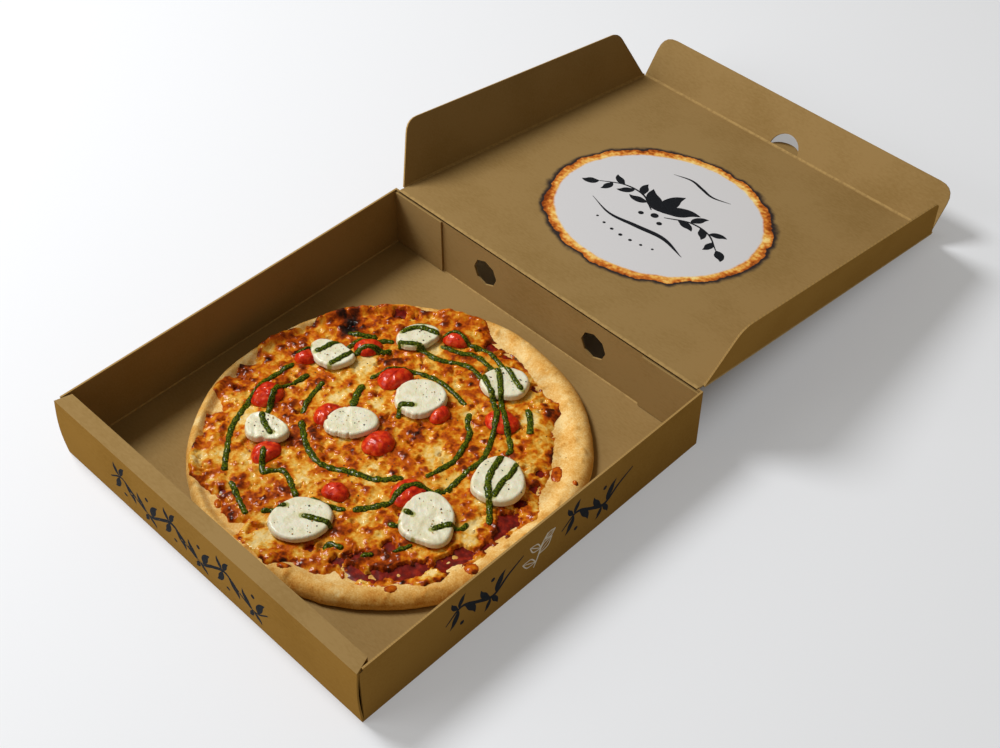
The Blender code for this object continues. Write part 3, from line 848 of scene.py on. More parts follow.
def film(name, height, keep, material, step=1, **fields):
    """A layer with an uneven top: the grid's kept cells, closed with a flat underside."""
    picked = (slice(None, None, step), slice(None, None, step))
    x, y, z, kept = grid_x[picked], grid_y[picked], height[picked], keep[picked]
    corners = kept[:-1, :-1] & kept[1:, :-1] & kept[:-1, 1:] & kept[1:, 1:]
    number = np.arange(x.size).reshape(x.shape)
    quads = np.stack([number[:-1, :-1], number[:-1, 1:], number[1:, 1:], number[1:, :-1]], axis=-1)
    quads = quads[corners]
    used = np.unique(quads)
    renumbered = np.full(x.size, -1)
    renumbered[used] = np.arange(used.size)
    points = on_pizza(x, y, z)[used]
    mesh = bpy.data.meshes.new(name)
    mesh.from_pydata(points.tolist(), [], renumbered[quads].tolist())
    piece = link(bpy.data.objects.new(name, mesh))
    add_values(piece, **{key: values[picked].ravel()[used] for key, values in fields.items()})
    form = bmesh.new()
    form.from_mesh(mesh)
    rim_edges = [edge for edge in form.edges if edge.is_boundary]
    skirt = bmesh.ops.extrude_edge_only(form, edges=rim_edges)["geom"]
    for vertex in (item for item in skirt if isinstance(item, bmesh.types.BMVert)):
        vertex.co.z = pizza_middle.z + FILM_UNDERSIDE
    loop = [edge for edge in form.edges if edge.is_boundary]
    bmesh.ops.contextual_create(form, geom=loop)
    bmesh.ops.recalc_face_normals(form, faces=form.faces)
    form.to_mesh(mesh)
    form.free()
    mesh.shade_smooth()
    mesh.materials.append(material)
    return piece


sauce_lumps = 0.35 * rough(grid_x, grid_y, 5.0, 2, 20.0)
sauce_reach = topping_edge - SAUCE_LEFT_BARE + 1.2 * rough(grid_x, grid_y, 6.0, 3, 21.0)
sauce_share = smooth((sauce_reach - grid_radius) / 1.6)
sauce_top = dough_top + 1.3 * sauce_share - 0.6 + sauce_lumps * sauce_share

sauce_red, tree, shader, spot = new_material(
    "sauce_red", 0.4, coat_weight=0.3, coat_roughness=0.06, specular_ior_level=0.15
)
pulp = grain(tree, spot, 4.0 * MM, 3.0)
colour = shades(tree, pulp, (0.3, (84, 8, 2)), (0.5, (114, 15, 3)), (0.7, (150, 34, 7)))
finish(tree, shader, colour, pulp, 0.8 * MM, 0.4)

sauce = film("tomato_sauce", sauce_top, grid_radius < topping_edge + 1.5, sauce_red, step=2)
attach(sauce, "base")


# The melted cheese.
# Shredded cheese that ran together in the oven: cream and yellow where it pooled,
# orange with oil, and bubbled into hundreds of small blisters that browned on top.

BLISTERS = 1050
BLISTER_TRIES = 14000
BLISTER_SPACING = 0.68
BLISTER_MARGIN = 1.4
TOAST_MIDDLE = 0.56

bare_sauce = soft_spots(
    (116, 7, 9, 1.3), (122, -8, 5, 1.2), (122, -20, 5, 1.2), (115, -36, 8, 1.3), (114, -50, 9, 1.4),
    (101, -66, 8, 1.0), (94, -78, 8, 1.3), (84, -92, 7, 1.1), (72, -103, 8, 1.2), (55, -102, 6, 0.9),
    (72, -67, 7, 0.9), (111, 25, 6, 1.1), (109, 42, 6, 0.9), (101, 55, 5, 0.9), (40, 115, 6, 0.9),
    (-16, 124, 7, 1.1), (0, 124, 6, 1.0), (-94, 96, 7, 0.9), (-112, 12, 5, 0.8), (-100, -15, 5, 0.7),
    (-124, -48, 6, 0.7), (-52, -120, 5, 0.6), (33, -108, 6, 0.8), (-35, -60, 4, 0.6), (83, 90, 5, 0.6),
    (60, -88, 8, 0.7), (-18, -41, 4, 0.6), (62, 100, 5, 0.6), (-82, 104, 5, 0.6), (88, 30, 5, 0.4),
)
burnt = soft_spots(
    (-130, -8, 5, 0.7), (-20, 102, 7, 0.5), (-62, 57, 7, 0.4), (-54, -48, 6, 0.7), (13, 15, 9, 0.3),
    (5, 22, 6, 0.3), (31, -35, 6, 0.35), (50, -112, 6, 0.5), (40, 33, 8, 0.3), (-45, 124, 9, 0.3),
    (-62, 112, 8, 0.25), (-90, -96, 8, 0.3), (-72, -112, 6, 0.3), (66, 104, 7, 0.25), (-76, -128, 6, 0.3),
    (-30, -129, 6, 0.3), (-108, -15, 6, 0.3), (-132, -32, 5, 0.3), (82, 67, 8, 0.25), (-120, 8, 6, 0.4),
    (36, -104, 9, 0.35), (70, -60, 8, 0.25), (-125, 32, 6, 0.25), (90, -78, 12, 0.2), (18, 84, 7, 0.2),
    (30, -128, 6, 0.25), (-38, 26, 6, 0.2),
)
charred = soft_spots(
    (-119, 72, 5, 0.6), (-115, 63, 5, 0.9), (-110, 55, 6, 1.0), (-109, 47, 4, 0.7), (-124, 61, 4, 0.4),
)
# Pale cream pools where the cheese ran thin; the two strongest, at (111, -64) and (77, -98), are painted
# highlights on glossy fat.
cream_and_highlight = soft_spots(
    (-73, 38, 11, 0.9), (-35, 17, 8, 0.8), (22, 58, 7, 0.6), (34, 14, 8, 0.6), (12, -30, 9, 0.8),
    (60, 88, 9, 0.8), (68, 62, 7, 0.7), (102, -16, 9, 0.8), (110, -28, 5, 0.5), (-60, -86, 8, 0.7),
    (-82, -102, 11, 0.8), (4, -128, 11, 1.0), (42, -62, 8, 0.6), (-16, -72, 8, 0.8), (-46, 90, 7, 0.9),
    (-96, -62, 8, 0.6), (46, -20, 7, 0.5), (-28, -22, 8, 0.5), (-100, 22, 7, 0.4), (80, -20, 7, 0.4),
    (90, 2, 7, 0.6), (-90, -116, 8, 0.6), (-60, 0, 9, 0.5), (-8, 78, 8, 0.4), (111, -64, 5, 1.2),
    (77, -98, 5, 1.2), (48, 4, 6, 0.4), (-66, 84, 6, 0.6), (12, 112, 7, 0.4), (86, 50, 6, 0.6),
)
oily = soft_spots(
    (-110, 40, 20, 0.4), (-85, 85, 20, 0.4), (-80, -20, 16, 0.3), (-115, -25, 14, 0.4), (80, -80, 24, 0.6),
)
torn = soft_spots((-28, -92, 15, 1.0), (-113, 62, 13, 0.8), (70, -62, 10, 0.4))

broad = rough(grid_x, grid_y, 24.0, 2, 50.0)
middle = rough(grid_x, grid_y, 7.0, 3, 51.0)
strands = rough(grid_x + 2 * broad, grid_y, 3.4, 2, 52.0, ridged=True)
pulled = rough((grid_x + grid_y) / 1.1, (grid_y - grid_x) / 6.0, 2.4, 2, 56.0, ridged=True)
toasty = TOAST_MIDDLE + 0.6 * broad + 0.5 * middle + 0.3 * oily + 0.4 * burnt + 0.2 * torn - 0.8 * cream_and_highlight

blister_seed = random.Random(31)
blisters = []
blister_table = np.zeros((0, 3))
for _ in range(BLISTER_TRIES):
    reach = GRID_REACH * math.sqrt(blister_seed.random())
    x, y = round_place(360.0 * blister_seed.random(), reach)
    size = 1.7 + 3.4 * blister_seed.random() ** 1.3
    browning = blister_seed.uniform(0.3, 1.0)
    if len(blisters) >= BLISTERS:
        break
    cell = tuple(np.searchsorted(cells[:-1], (y, x)))
    if blister_seed.random() > 0.06 + 0.95 * toasty[cell] - 0.8 * torn[cell]:
        continue
    apart = np.hypot(blister_table[:, 0] - x, blister_table[:, 1] - y)
    if blisters and (apart < BLISTER_SPACING * (blister_table[:, 2] + size)).any():
        continue
    blisters.append((x, y, size, browning))
    blister_table = np.vstack([blister_table, (x, y, size)])

warp_x = grid_x + 1.1 * rough(grid_x, grid_y, 3.2, 2, 40.0)
warp_y = grid_y + 1.1 * rough(grid_x, grid_y, 3.2, 2, 41.0)
domes = np.zeros_like(grid_x)
dome_toast = np.zeros_like(grid_x)
for x, y, size, browning in blisters:
    around = size + BLISTER_MARGIN
    low_x, high_x = np.searchsorted(cells, (x - around, x + around))
    low_y, high_y = np.searchsorted(cells, (y - around, y + around))
    window = (slice(low_y, high_y), slice(low_x, high_x))
    away = np.hypot(warp_x[window] - x, warp_y[window] - y) / size
    dome = np.sqrt(np.clip(1.0 - away**2, 0.0, 1.0))
    domes[window] = np.maximum(domes[window], 0.34 * size**0.8 * dome)
    dome_toast[window] = np.maximum(dome_toast[window], browning * dome**0.9)

blotchy = rough(warp_x, warp_y, 6.5, 3, 58.0) + 0.9 * (toasty - TOAST_MIDDLE)
baked = smooth(blotchy + 0.5)
gaps = smooth((rough(grid_x, grid_y, 12.0, 3, 53.0) - 0.42) / 0.2)
opened = smooth((bare_sauce + 0.35 * rough(grid_x, grid_y, 5.0, 3, 57.0) - 0.45) / 0.2)
cheese_reach = topping_edge + 1.6 * rough(grid_x, grid_y, 6.0, 3, 54.0)
inward = cheese_reach - grid_radius
bulge = np.sqrt(np.clip(inward / 5.0, 0.0, 1.0))
thickness = bulge * (2.0 + 1.2 * smooth(inward / 14.0) + 0.7 * middle + domes + 0.2 * strands)
thickness = thickness * (1.0 - 0.9 * gaps * (1.0 - np.clip(domes, 0.0, 1.0))) + 0.35 * torn * pulled
thickness = np.where(inward > 0.0, thickness, -0.8 * smooth(-inward / 1.5))
thickness = thickness * (1.0 - opened) - 0.7 * opened * (1.0 - 0.8 * np.clip(domes - 0.9, 0.0, 1.0))
cheese_top = dough_top + 0.45 + thickness
toast = 0.12 + 0.18 * np.clip(toasty, 0.0, 1.1) + 0.18 * baked + 0.05 * middle + 0.05 * strands
toast += dome_toast * (0.06 + 0.24 * baked) * np.clip(0.4 + toasty, 0.4, 1.1)
toast += 0.36 * burnt + 0.6 * charred - 0.16 * cream_and_highlight
toast += 0.12 * smooth(1.0 - inward / 5.0) * (0.3 + 0.7 * baked) + 0.16 * smooth(bare_sauce)
toast += torn * (0.08 + 0.3 * np.clip(pulled, -0.3, 1.0))

cheese_melt, tree, shader, spot = new_material(
    "cheese_melt", 0.4, coat_weight=0.28, coat_roughness=0.06, specular_ior_level=0.05
)
fine = grain(tree, spot, 2.6 * MM, 2.0, distortion=0.6)
tiny = grain(tree, spot, 0.7 * MM, 1.0)
cell_node = add_node(tree, "TexVoronoi", {"Vector": spot, "Scale": 0.42 / MM})
pimples = between(tree, cell_node.outputs["Distance"], 0.5, 0.12)
tone = times(tree, sum_of(tree, fine, -0.5), 0.34)
tone = sum_of(tree, tone, times(tree, pimples, 0.06))
tone = sum_of(tree, stored(tree, "toast"), tone)
colour = shades(
    tree,
    tone,
    (0.0, (238, 212, 146)),
    (0.14, (230, 180, 76)),
    (0.28, (214, 132, 20)),
    (0.42, (192, 88, 6)),
    (0.56, (148, 56, 6)),
    (0.72, (94, 33, 6)),
    (0.88, (46, 18, 8)),
    (1.0, (20, 12, 9)),
)
relief = sum_of(tree, sum_of(tree, fine, tiny), times(tree, pimples, 0.6))
finish(tree, shader, colour, relief, 0.3 * MM, 0.36)

cheese = film("cheese", cheese_top, grid_radius < topping_edge + 2.5, cheese_melt, toast=toast)
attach(cheese, "base")
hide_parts("cheese_layer")

CHEESE_DROPS = (
    # x, y, half length, half width, which way it runs; baked onto the bare rim
    (110, 64, 9.0, 4.2, -52),
    (127.5, 65, 2.8, 2.0, -20),
    (128.5, -42, 5.6, 5.0, 0),
    (-46, -128, 4.5, 2.8, -35),
    (101, -93, 5.0, 4.0, 60),
    (-142, 15, 3.6, 3.0, 80),
    (34, -132, 5.5, 3.0, 35),
)
for number, (x, y, half_length, half_width, heading) in enumerate(CHEESE_DROPS, start=1):
    heading = math.radians(heading)
    along = (grid_x - x) * math.cos(heading) + (grid_y - y) * math.sin(heading)
    aside = (grid_y - y) * math.cos(heading) - (grid_x - x) * math.sin(heading)
    away = np.hypot(along / half_length, aside / half_width) + 0.12 * strands
    swell = np.sqrt(np.clip(1.0 - away**2, 0.0, 1.0))
    drop_top = dough_top - 0.5 + 1.9 * swell + 0.4 * domes * swell
    drop_toast = 0.38 + 0.3 * dome_toast + 0.16 * (1.0 - swell)
    drop = film(f"cheese_drop_{number}", drop_top, away < 1.2, cheese_melt, toast=drop_toast)
    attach(drop, "base")


# The mozzarella.
# Nine slices cut across balls of fresh mozzarella and laid on near the end: ivory,
# wet, a little slumped, each with its own outline. Some edges are torn.

MOUND_PITCH = 0.75
SLICE_SEAT = 11.8
SLICE_TURNS = 180
SLICE_SIDE = ((0.15, 0.85), (0.3, 0.6), (0.5, 0.38), (0.7, 0.18), (0.5, 0.04), (-2.0, 0.0), (-8.0, 0.0))
SLICES = (
    # bearing, distance, top, dents, tear, reach at every 30 degrees
    (164.5, 98, 16.9, 0.5, 0.3, (15.5, 17.0, 13.5, 11.5, 12.0, 14.5, 20.5, 19.0, 15.5, 14.0, 14.0, 14.5)),
    (125, 105.5, 16.4, 0.3, 0.2, (11.5, 13.5, 16.5, 16.0, 14.0, 14.0, 14.5, 17.0, 18.0, 16.0, 12.5, 11.5)),
    (76.5, 100.5, 16.7, 0.4, 0.3, (17.5, 18.0, 18.5, 17.5, 16.5, 16.5, 17.5, 19.0, 18.0, 16.5, 14.5, 15.5)),
    (104, 43, 17.6, 0.4, 1.2, (16.5, 18.5, 19.0, 19.0, 18.5, 19.5, 20.5, 21.0, 20.0, 19.5, 18.5, 17.0)),
    (200, 33.5, 16.8, 0.7, 1.8, (16.5, 20.5, 19.5, 16.5, 14.0, 14.5, 16.0, 18.5, 20.0, 17.0, 14.5, 15.0)),
    (220, 93, 17.8, 1.7, 1.0, (16.5, 16.5, 13.5, 10.5, 11.5, 14.0, 18.5, 17.0, 16.5, 14.5, 12.5, 12.5)),
    (-82.5, 99, 16.2, 0.4, 0.2, (19.5, 21.0, 22.5, 21.0, 19.5, 20.0, 20.5, 22.5, 23.5, 21.5, 19.5, 18.5)),
    (-24.5, 85.5, 16.8, 0.9, 0.6, (22.5, 19.0, 19.0, 21.0, 24.5, 25.0, 21.5, 20.5, 21.0, 21.0, 20.0, 24.0)),
    (16, 91.5, 17.8, 0.6, 0.4, (21.5, 20.0, 19.0, 20.5, 22.0, 21.5, 19.0, 18.5, 20.5, 20.5, 20.5, 22.0)),
)


def round_reach(reaches, turns):
    """A smooth closed outline through reaches given at even turns, at any turns in radians."""
    count = len(reaches)
    angles = np.arange(count) * math.tau / count
    result = np.full_like(turns, np.mean(reaches))
    for wave in range(1, count // 2):
        in_step = 2.0 * np.mean(reaches * np.cos(wave * angles))
        across = 2.0 * np.mean(reaches * np.sin(wave * angles))
        result = result + in_step * np.cos(wave * turns) + across * np.sin(wave * turns)
    return result


def face_outward(mesh):
    """Turn a closed mesh's faces to point out of it."""
    form = bmesh.new()
    form.from_mesh(mesh)
    bmesh.ops.recalc_face_normals(form, faces=form.faces)
    form.to_mesh(mesh)
    form.free()


def mound(name, place, reach, top_height, side_steps, seat, material):
    """A lump of food in mm: a top over a round outline and a side that goes down to its seat."""
    count = len(reach)
    angles = np.arange(count) * math.tau / count
    rings = []
    for share in np.linspace(0.02, 1.0, int(reach.mean() / MOUND_PITCH)):
        x = place[0] + reach * share * np.cos(angles)
        y = place[1] + reach * share * np.sin(angles)
        rings.append((x, y, top_height(x, y, np.full(count, share))))
    edge = rings[-1][2]
    for outward, share in side_steps:
        x = place[0] + (reach + outward) * np.cos(angles)
        y = place[1] + (reach + outward) * np.sin(angles)
        rings.append((x, y, seat + (edge - seat) * share))
    piece = lofted(name, [on_pizza(*ring) for ring in rings], material)
    face_outward(piece.data)
    return piece


mozzarella_white, tree, shader, spot = new_material(
    "mozzarella_white",
    0.42,
    coat_weight=0.2,
    coat_roughness=0.15,
    specular_ior_level=0.4,
    subsurface_weight=0.12,
    subsurface_scale=2.5 * MM,
)
curd = grain(tree, spot, 7.0 * MM, 3.0)
fine = grain(tree, spot, 1.3 * MM, 3.0)
face = shades(tree, curd, (0.35, (224, 219, 184)), (0.6, (236, 233, 210)))
upright = between(tree, facing(tree, (0.0, 0.0, 1.0)), 0.75, 0.2)
colour = mixed(tree, times(tree, upright, 0.4), face, (222, 206, 168))
colour = mixed(tree, stored(tree, "herb_oil"), colour, (158, 160, 52))
finish(tree, shader, colour, sum_of(tree, fine, curd), 0.5 * MM, 0.5)

slice_turns = np.arange(SLICE_TURNS) * math.tau / SLICE_TURNS
slices = []
for number, (bearing, distance, top, dents, tear, reaches) in enumerate(SLICES, start=1):
    place = round_place(bearing, distance)
    reach = round_reach(reaches, slice_turns)
    around_x, around_y = reach * np.cos(slice_turns), reach * np.sin(slice_turns)
    ragged = rough(around_x, around_y, 4.5, 3, 60.0 + number)
    reach = reach + 0.2 * ragged + tear * np.clip(ragged, -1.0, 0.0) * (np.sin(slice_turns + 0.8) < 0.0)

    def slice_top(x, y, share, top=top, dents=dents, number=number):
        """A flat face with soft dents that rounds over at its edge."""
        dent = 0.8 * dents * rough(x, y, 11.0, 2, 70.0 + number) + 0.07 * rough(x, y, 2.2, 2, 80.0)
        fold = 0.25 * dents * rough(x + 0.6 * y, y, 7.0, 2, 90.0 + number, ridged=True)
        over = np.sqrt(np.clip(1.0 - (np.clip(share - 0.88, 0.0, 1.0) / 0.12) ** 2, 0.0, 1.0))
        return top - 1.5 * (1.0 - over) + (dent + fold - 0.3 * dents) * (0.3 + 0.7 * over)

    name = f"mozzarella_slice_{number}"
    piece = mound(name, place, reach, slice_top, SLICE_SIDE, SLICE_SEAT, mozzarella_white)
    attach(piece, "base")
    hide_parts(f"mozzarella_{number}")
    slices.append(piece)


# The tomatoes.
# Cherry tomatoes, halved and baked skin side up: sunken, wrinkled and glossy. One has
# charred at the back, and its skin has lifted from the wet red inside.

TOMATO_SEAT = 10.5
TOMATO_TURNS = 120
TOMATO_DOME = 0.75
TOMATO_SIDE = ((0.1, 0.5), (0.0, 0.0), (-3.0, 0.0))
NO_LIMIT = 99.0
TOMATOES = (
    # bearing, distance, top, reach at every 45 degrees
    (148, 98, 16.2, (9.5, 12.0, 10.0, 8.5, 10.0, 11.5, 10.5, 9.5)),
    (174, 110, 16.6, (8.5, 8.0, 9.5, 9.0, 8.5, 10.0, 9.5, 7.5)),
    (200, 107, 16.4, (11.5, 13.0, 13.5, 13.0, 11.5, 12.5, 13.5, 12.5)),
    (135, 62, 17.0, (10.0, 14.5, 13.0, 10.5, 11.5, 13.0, 13.5, 11.5)),
    (198, 55, 16.6, (10.5, 12.0, 12.0, 10.0, 10.0, 10.5, 12.5, 11.0)),
    (257, 10, 17.2, (11.5, 12.0, 13.0, 12.5, 11.5, 13.0, 13.0, 11.5)),
    (233, 94, 15.9, (8.5, 12.5, 12.5, 11.0, 9.5, 10.0, 11.5, 11.0)),
    (110, 114, 16.2, (10.5, 10.0, 9.5, 9.5, 11.0, 11.5, 8.5, 8.0)),
    (77, 43, 16.8, (7.5, 8.0, 9.0, 9.5, 7.5, 8.0, 9.5, 8.0)),
    (56, 85, 16.0, (14.0, 12.5, 11.5, 12.0, 14.0, 13.0, 12.0, 11.5)),
    (-81, 63, 16.4, (10.5, 9.0, 8.0, 8.0, 10.0, 11.5, 8.5, 9.0)),
    (-30, 54, 16.2, (13.0, 14.5, 14.5, 12.5, 11.5, 12.0, 14.0, 13.0)),
)
CHARRED_TOMATO = 2

tomato_skin, tree, shader, spot = new_material(
    "tomato_skin", 0.35, coat_weight=0.3, coat_roughness=0.05, specular_ior_level=0.15
)
flesh = grain(tree, spot, 4.0 * MM, 3.0)
veins = grain(tree, spot, 0.9 * MM, 2.0)
tone = sum_of(tree, flesh, times(tree, sum_of(tree, veins, -0.5), 0.12))
red = shades(tree, tone, (0.3, (166, 20, 4)), (0.5, (208, 44, 10)), (0.72, (226, 86, 26)))
colour = mixed(tree, stored(tree, "charred"), red, (22, 12, 12))
finish(tree, shader, colour, sum_of(tree, veins, flesh), 0.5 * MM, 0.35)


def under_slices(x, y):
    """How low in mm a tomato must stay at a place, where a slice of mozzarella lies over it."""
    limit = np.full(np.shape(x), NO_LIMIT)
    for bearing, distance, *_, reaches in SLICES:
        slice_x, slice_y = round_place(bearing, distance)
        across, up = x - slice_x, y - slice_y
        reach = round_reach(reaches, np.arctan2(up, across))
        limit = np.where(np.hypot(across, up) < reach, SLICE_SEAT + 1.0, limit)
    return limit


tomato_turns = np.arange(TOMATO_TURNS) * math.tau / TOMATO_TURNS
tomatoes = []
for number, (bearing, distance, top, reaches) in enumerate(TOMATOES, start=1):
    place = round_place(bearing, distance)
    reach = round_reach(reaches, tomato_turns)
    around_x, around_y = reach * np.cos(tomato_turns), reach * np.sin(tomato_turns)
    reach = reach * (1.0 + 0.035 * rough(around_x, around_y, 6.0, 2, 100.0 + number))
    heading = math.radians(47.0 * number)

    def tomato_top(x, y, share, top=top, number=number, heading=heading, place=place):
        """A sunken dome whose skin has shrunk into folds."""
        dome = (1.0 - share**3.2) ** TOMATO_DOME
        across = (x - place[0]) * math.cos(heading) + (y - place[1]) * math.sin(heading)
        along = (y - place[1]) * math.cos(heading) - (x - place[0]) * math.sin(heading)
        folds = rough(across + 1.5 * number, along / 2.6, 4.2, 2, 110.0 + number, ridged=True)
        dents = rough(x, y, 8.0, 2, 120.0 + number)
        height = TOMATO_SEAT + (top - TOMATO_SEAT) * dome + (0.6 * folds + 0.7 * dents) * dome**0.5
        if number == CHARRED_TOMATO:
            open_part = smooth((across * 0.2 + 2.0 - np.hypot(across - 1.0, along + 2.0)) / 4.0 + 0.5)
            height = height - 1.6 * open_part
        return np.minimum(height, under_slices(x, y))

    name = f"tomato_half_{number}"
    piece = mound(name, place, reach, tomato_top, TOMATO_SIDE, TOMATO_SEAT, tomato_skin)
    x, y = places_of(piece)
    back = (y - place[1]) * 0.85 - (x - place[0]) * 0.35
    black = smooth((back - 2.0 + 3.0 * rough(x, y, 4.0, 2, 130.0)) / 2.5)
    add_values(piece, charred=black * (number == CHARRED_TOMATO))
    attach(piece, "base")
    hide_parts(f"tomato_{number}")
    tomatoes.append(piece)


# The pesto.
# Green basil pesto, piped on cold from a squeeze bottle in broken rings after baking.
# It stands up as a bumpy glossy bead, and its oil tints the mozzarella beside it.

PESTO_STEP = 0.7
PESTO_WIDTH = 4.6
PESTO_RISE = 1.5
PESTO_SINK = 0.4
PESTO_TAPER = 2.6
PESTO_TURN = 24
OIL_REACH = 2.9
OIL_STRENGTH = 0.85
RAY_START = 60 * MM
PESTO = (
    # width, then bearing and distance of each bend
    (1.0, (180, 112), (189, 114), (197, 117), (210, 118), (219, 121), (230, 122), (239, 125)),
    (1.0, (180, 94), (188, 97), (195, 102), (206, 99), (214, 99), (223, 91), (224, 88)),
    (1.0, (178, 80), (190, 77), (204, 74)),
    (1.1, (210, 71), (226, 64), (236, 61), (248, 57), (260, 50), (275, 42), (303, 40), (331, 39)),
    (1.3, (158, 60), (165, 55), (178, 45)),
    (0.9, (152, 65), (141, 69), (127, 71), (107, 69), (91, 66), (76, 65)),
    (1.0, (171, 106), (161, 107), (158, 105)),
    (1.0, (170, 88), (159, 91), (150, 95), (141, 91), (137, 92)),
    (0.9, (157, 103), (150, 108), (145, 105), (136, 102)),
    (1.0, (154, 119), (149, 113), (143, 109)),
    (0.9, (177, 116), (171, 114)),
    (1.0, (133, 108), (126, 114), (117, 111)),
    (0.7, (129, 119), (125, 120), (120, 120)),
    (1.0, (134, 96), (124, 95), (113, 89), (98, 94), (84, 90), (63, 83), (47, 76), (30, 72), (17, 66)),
    (1.0, (17, 66), (-2, 65), (-13, 62)),
    (0.9, (116, 112), (111, 118), (104, 114), (96, 116), (84, 111), (74, 108), (69, 108)),
    (1.0, (115, 104), (105, 103), (99, 107), (86, 104), (81, 101), (68, 90), (54, 87), (39, 90), (34, 88)),
    (1.0, (123, 21), (122, 29), (104, 33)),
    (1.0, (69, 64), (59, 59), (49, 59), (35, 55), (20, 52), (6, 48), (-9, 46)),
    (1.1, (61, 107), (54, 106), (47, 104)),
    (1.0, (-128, 94), (-117, 98), (-116, 92), (-115, 85), (-109, 82), (-103, 83), (-95, 86)),
    (1.0, (-89, 80), (-77, 76), (-69, 74)),
    (1.0, (-116, 122), (-105, 122), (-100, 123)),
    (0.9, (-98, 113), (-94, 102), (-92, 98)),
    (1.0, (-83, 97), (-74, 93), (-69, 93)),
    (1.0, (-68, 110), (-67, 105), (-61, 106)),
    (0.9, (-54, 109), (-49, 108)),
    (1.1, (-65, 72), (-52, 65), (-43, 61), (-37, 56), (-30, 52), (-22, 52), (-15, 57), (-13, 62)),
    (0.9, (-42, 104), (-38, 103), (-34, 101)),
    (1.0, (-44, 81), (-39, 83)),
    (0.9, (-35, 74), (-31, 79)),
    (1.0, (-25, 96), (-17, 97), (-13, 101), (-9, 99)),
    (1.1, (32, 87), (26, 85), (13, 86), (3, 99), (-3, 110)),
    (1.0, (27, 99), (20, 98), (15, 96), (6, 98)),
)

pesto_green, tree, shader, spot = new_material(
    "pesto_green", 0.4, coat_weight=0.3, coat_roughness=0.08, specular_ior_level=0.05
)
leafy = grain(tree, spot, 1.1 * MM, 3.0)
colour = shades(tree, leafy, (0.36, (22, 31, 1)), (0.5, (52, 69, 2)), (0.66, (116, 126, 10)))
finish(tree, shader, colour, leafy, 0.6 * MM, 0.8)


def food_surface(pieces):
    """One searchable skin over all the pieces."""
    points, faces = [], []
    for piece in pieces:
        first = len(points)
        points += [vertex.co.copy() for vertex in piece.data.vertices]
        faces += [[first + index for index in face.vertices] for face in piece.data.polygons]
    return BVHTree.FromPolygons(points, faces)


food = food_surface([crust, sauce, cheese, *slices, *tomatoes])


def height_of_food(x, y):
    """The food's height in mm above the pizza's underside at a place in mm."""
    start = pizza_middle + Vector((x * MM, y * MM, RAY_START))
    hit = food.ray_cast(start, Vector((0.0, 0.0, -1.0)))[0]
    return (hit.z - pizza_middle.z) / MM if hit else 0.0


def bead(path, width, rise, seed):
    """Rings of a rounded, bumpy bead that lies along a path on the food."""
    ways = directions(path)
    swell = 1.0 + 0.3 * rough(path[:, 0], path[:, 1], 4.0, 2, seed)
    count = len(path)
    from_end = np.minimum(np.arange(count) + 0.15, count - 0.85 - np.arange(count))
    ends = np.sqrt(np.clip(from_end / PESTO_TAPER, 0.0, 1.0))
    half = width / 2 * swell * (0.25 + 0.75 * ends)
    window = np.ones(5) / 5
    levels = []
    for side in (1, 0, -1):
        heights = []
        for (x, y), (ahead, aside), out in zip(path, ways, half * side):
            heights.append(height_of_food(x - aside * out, y + ahead * out))
        padded = np.pad(np.array(heights), 2, mode="edge")
        levels.append(np.maximum(np.convolve(padded, window, "valid"), np.array(heights) - 0.5))
    left, under, right = levels
    rings = []
    for index in range(count):
        (x, y), (ahead, aside), h = path[index], ways[index], half[index]
        ring = []
        for turn in range(0, 360, PESTO_TURN):
            side, up = math.cos(math.radians(turn)), math.sin(math.radians(turn))
            beside = left[index] if side > 0 else right[index]
            ground = under[index] + abs(side) * (beside - under[index])
            lift = up * PESTO_SINK
            if up > 0:
                bumps = 0.28 * rough(x + side, y + up, 1.2, 1, seed + 3.0)
                lift = up * rise * (0.3 + 0.7 * ends[index]) * swell[index] + bumps
            ring.append((x - aside * side * h, y + ahead * side * h, ground + lift))
        rings.append(on_pizza(*np.array(ring).T))
    return rings


def evenly(points, step):
    """The same path with its points that far apart."""
    lengths = np.concatenate([[0.0], np.cumsum(np.linalg.norm(np.diff(points, axis=0), axis=1))])
    marks = np.linspace(0.0, lengths[-1], max(int(lengths[-1] / step), 4))
    return np.stack([np.interp(marks, lengths, points[:, axis]) for axis in (0, 1)], axis=1)


def join(name, pieces, material):
    """Several meshes as one piece, to keep a single object for each kind of thing."""
    points, faces = [], []
    for rings in pieces:
        faces += ring_faces(rings, first=len(points))
        points += [tuple(point) for ring in rings for point in ring]
    mesh = bpy.data.meshes.new(name)
    mesh.from_pydata(points, [], faces)
    face_outward(mesh)
    mesh.shade_smooth()
    mesh.materials.append(material)
    return link(bpy.data.objects.new(name, mesh))


pesto_beads = []
pesto_paths = []
for number, (width, *bends) in enumerate(PESTO):
    path = evenly(curve_through([round_place(*bend) for bend in bends], 12), PESTO_STEP)
    wander = [rough(path[:, 0], path[:, 1], 5.0, 2, 140.0 + axis) for axis in (0, 1)]
    path = path + 0.35 * np.stack(wander, axis=1)
    pesto_paths.append(path)
    pesto_beads.append(bead(path, PESTO_WIDTH * width, PESTO_RISE, 150.0 + number))
pesto = join("pesto", pesto_beads, pesto_green)
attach(pesto, "base")

pesto_spots = np.vstack(pesto_paths)
for piece in slices:
    x, y = places_of(piece)
    away = np.full(len(x), NO_LIMIT)
    for spot_x, spot_y in pesto_spots:
        away = np.minimum(away, np.hypot(x - spot_x, y - spot_y))
    wander = 0.4 * rough(x, y, 2.0, 2, 160.0)
    add_values(piece, herb_oil=OIL_STRENGTH * smooth((OIL_REACH + wander - away) / 1.2))


# The pepper and the crumbs.
# Black pepper ground over the pizza at the end, coarse and uneven, with small tan and
# orange crumbs of baked cheese. Most of it shows on the white mozzarella.

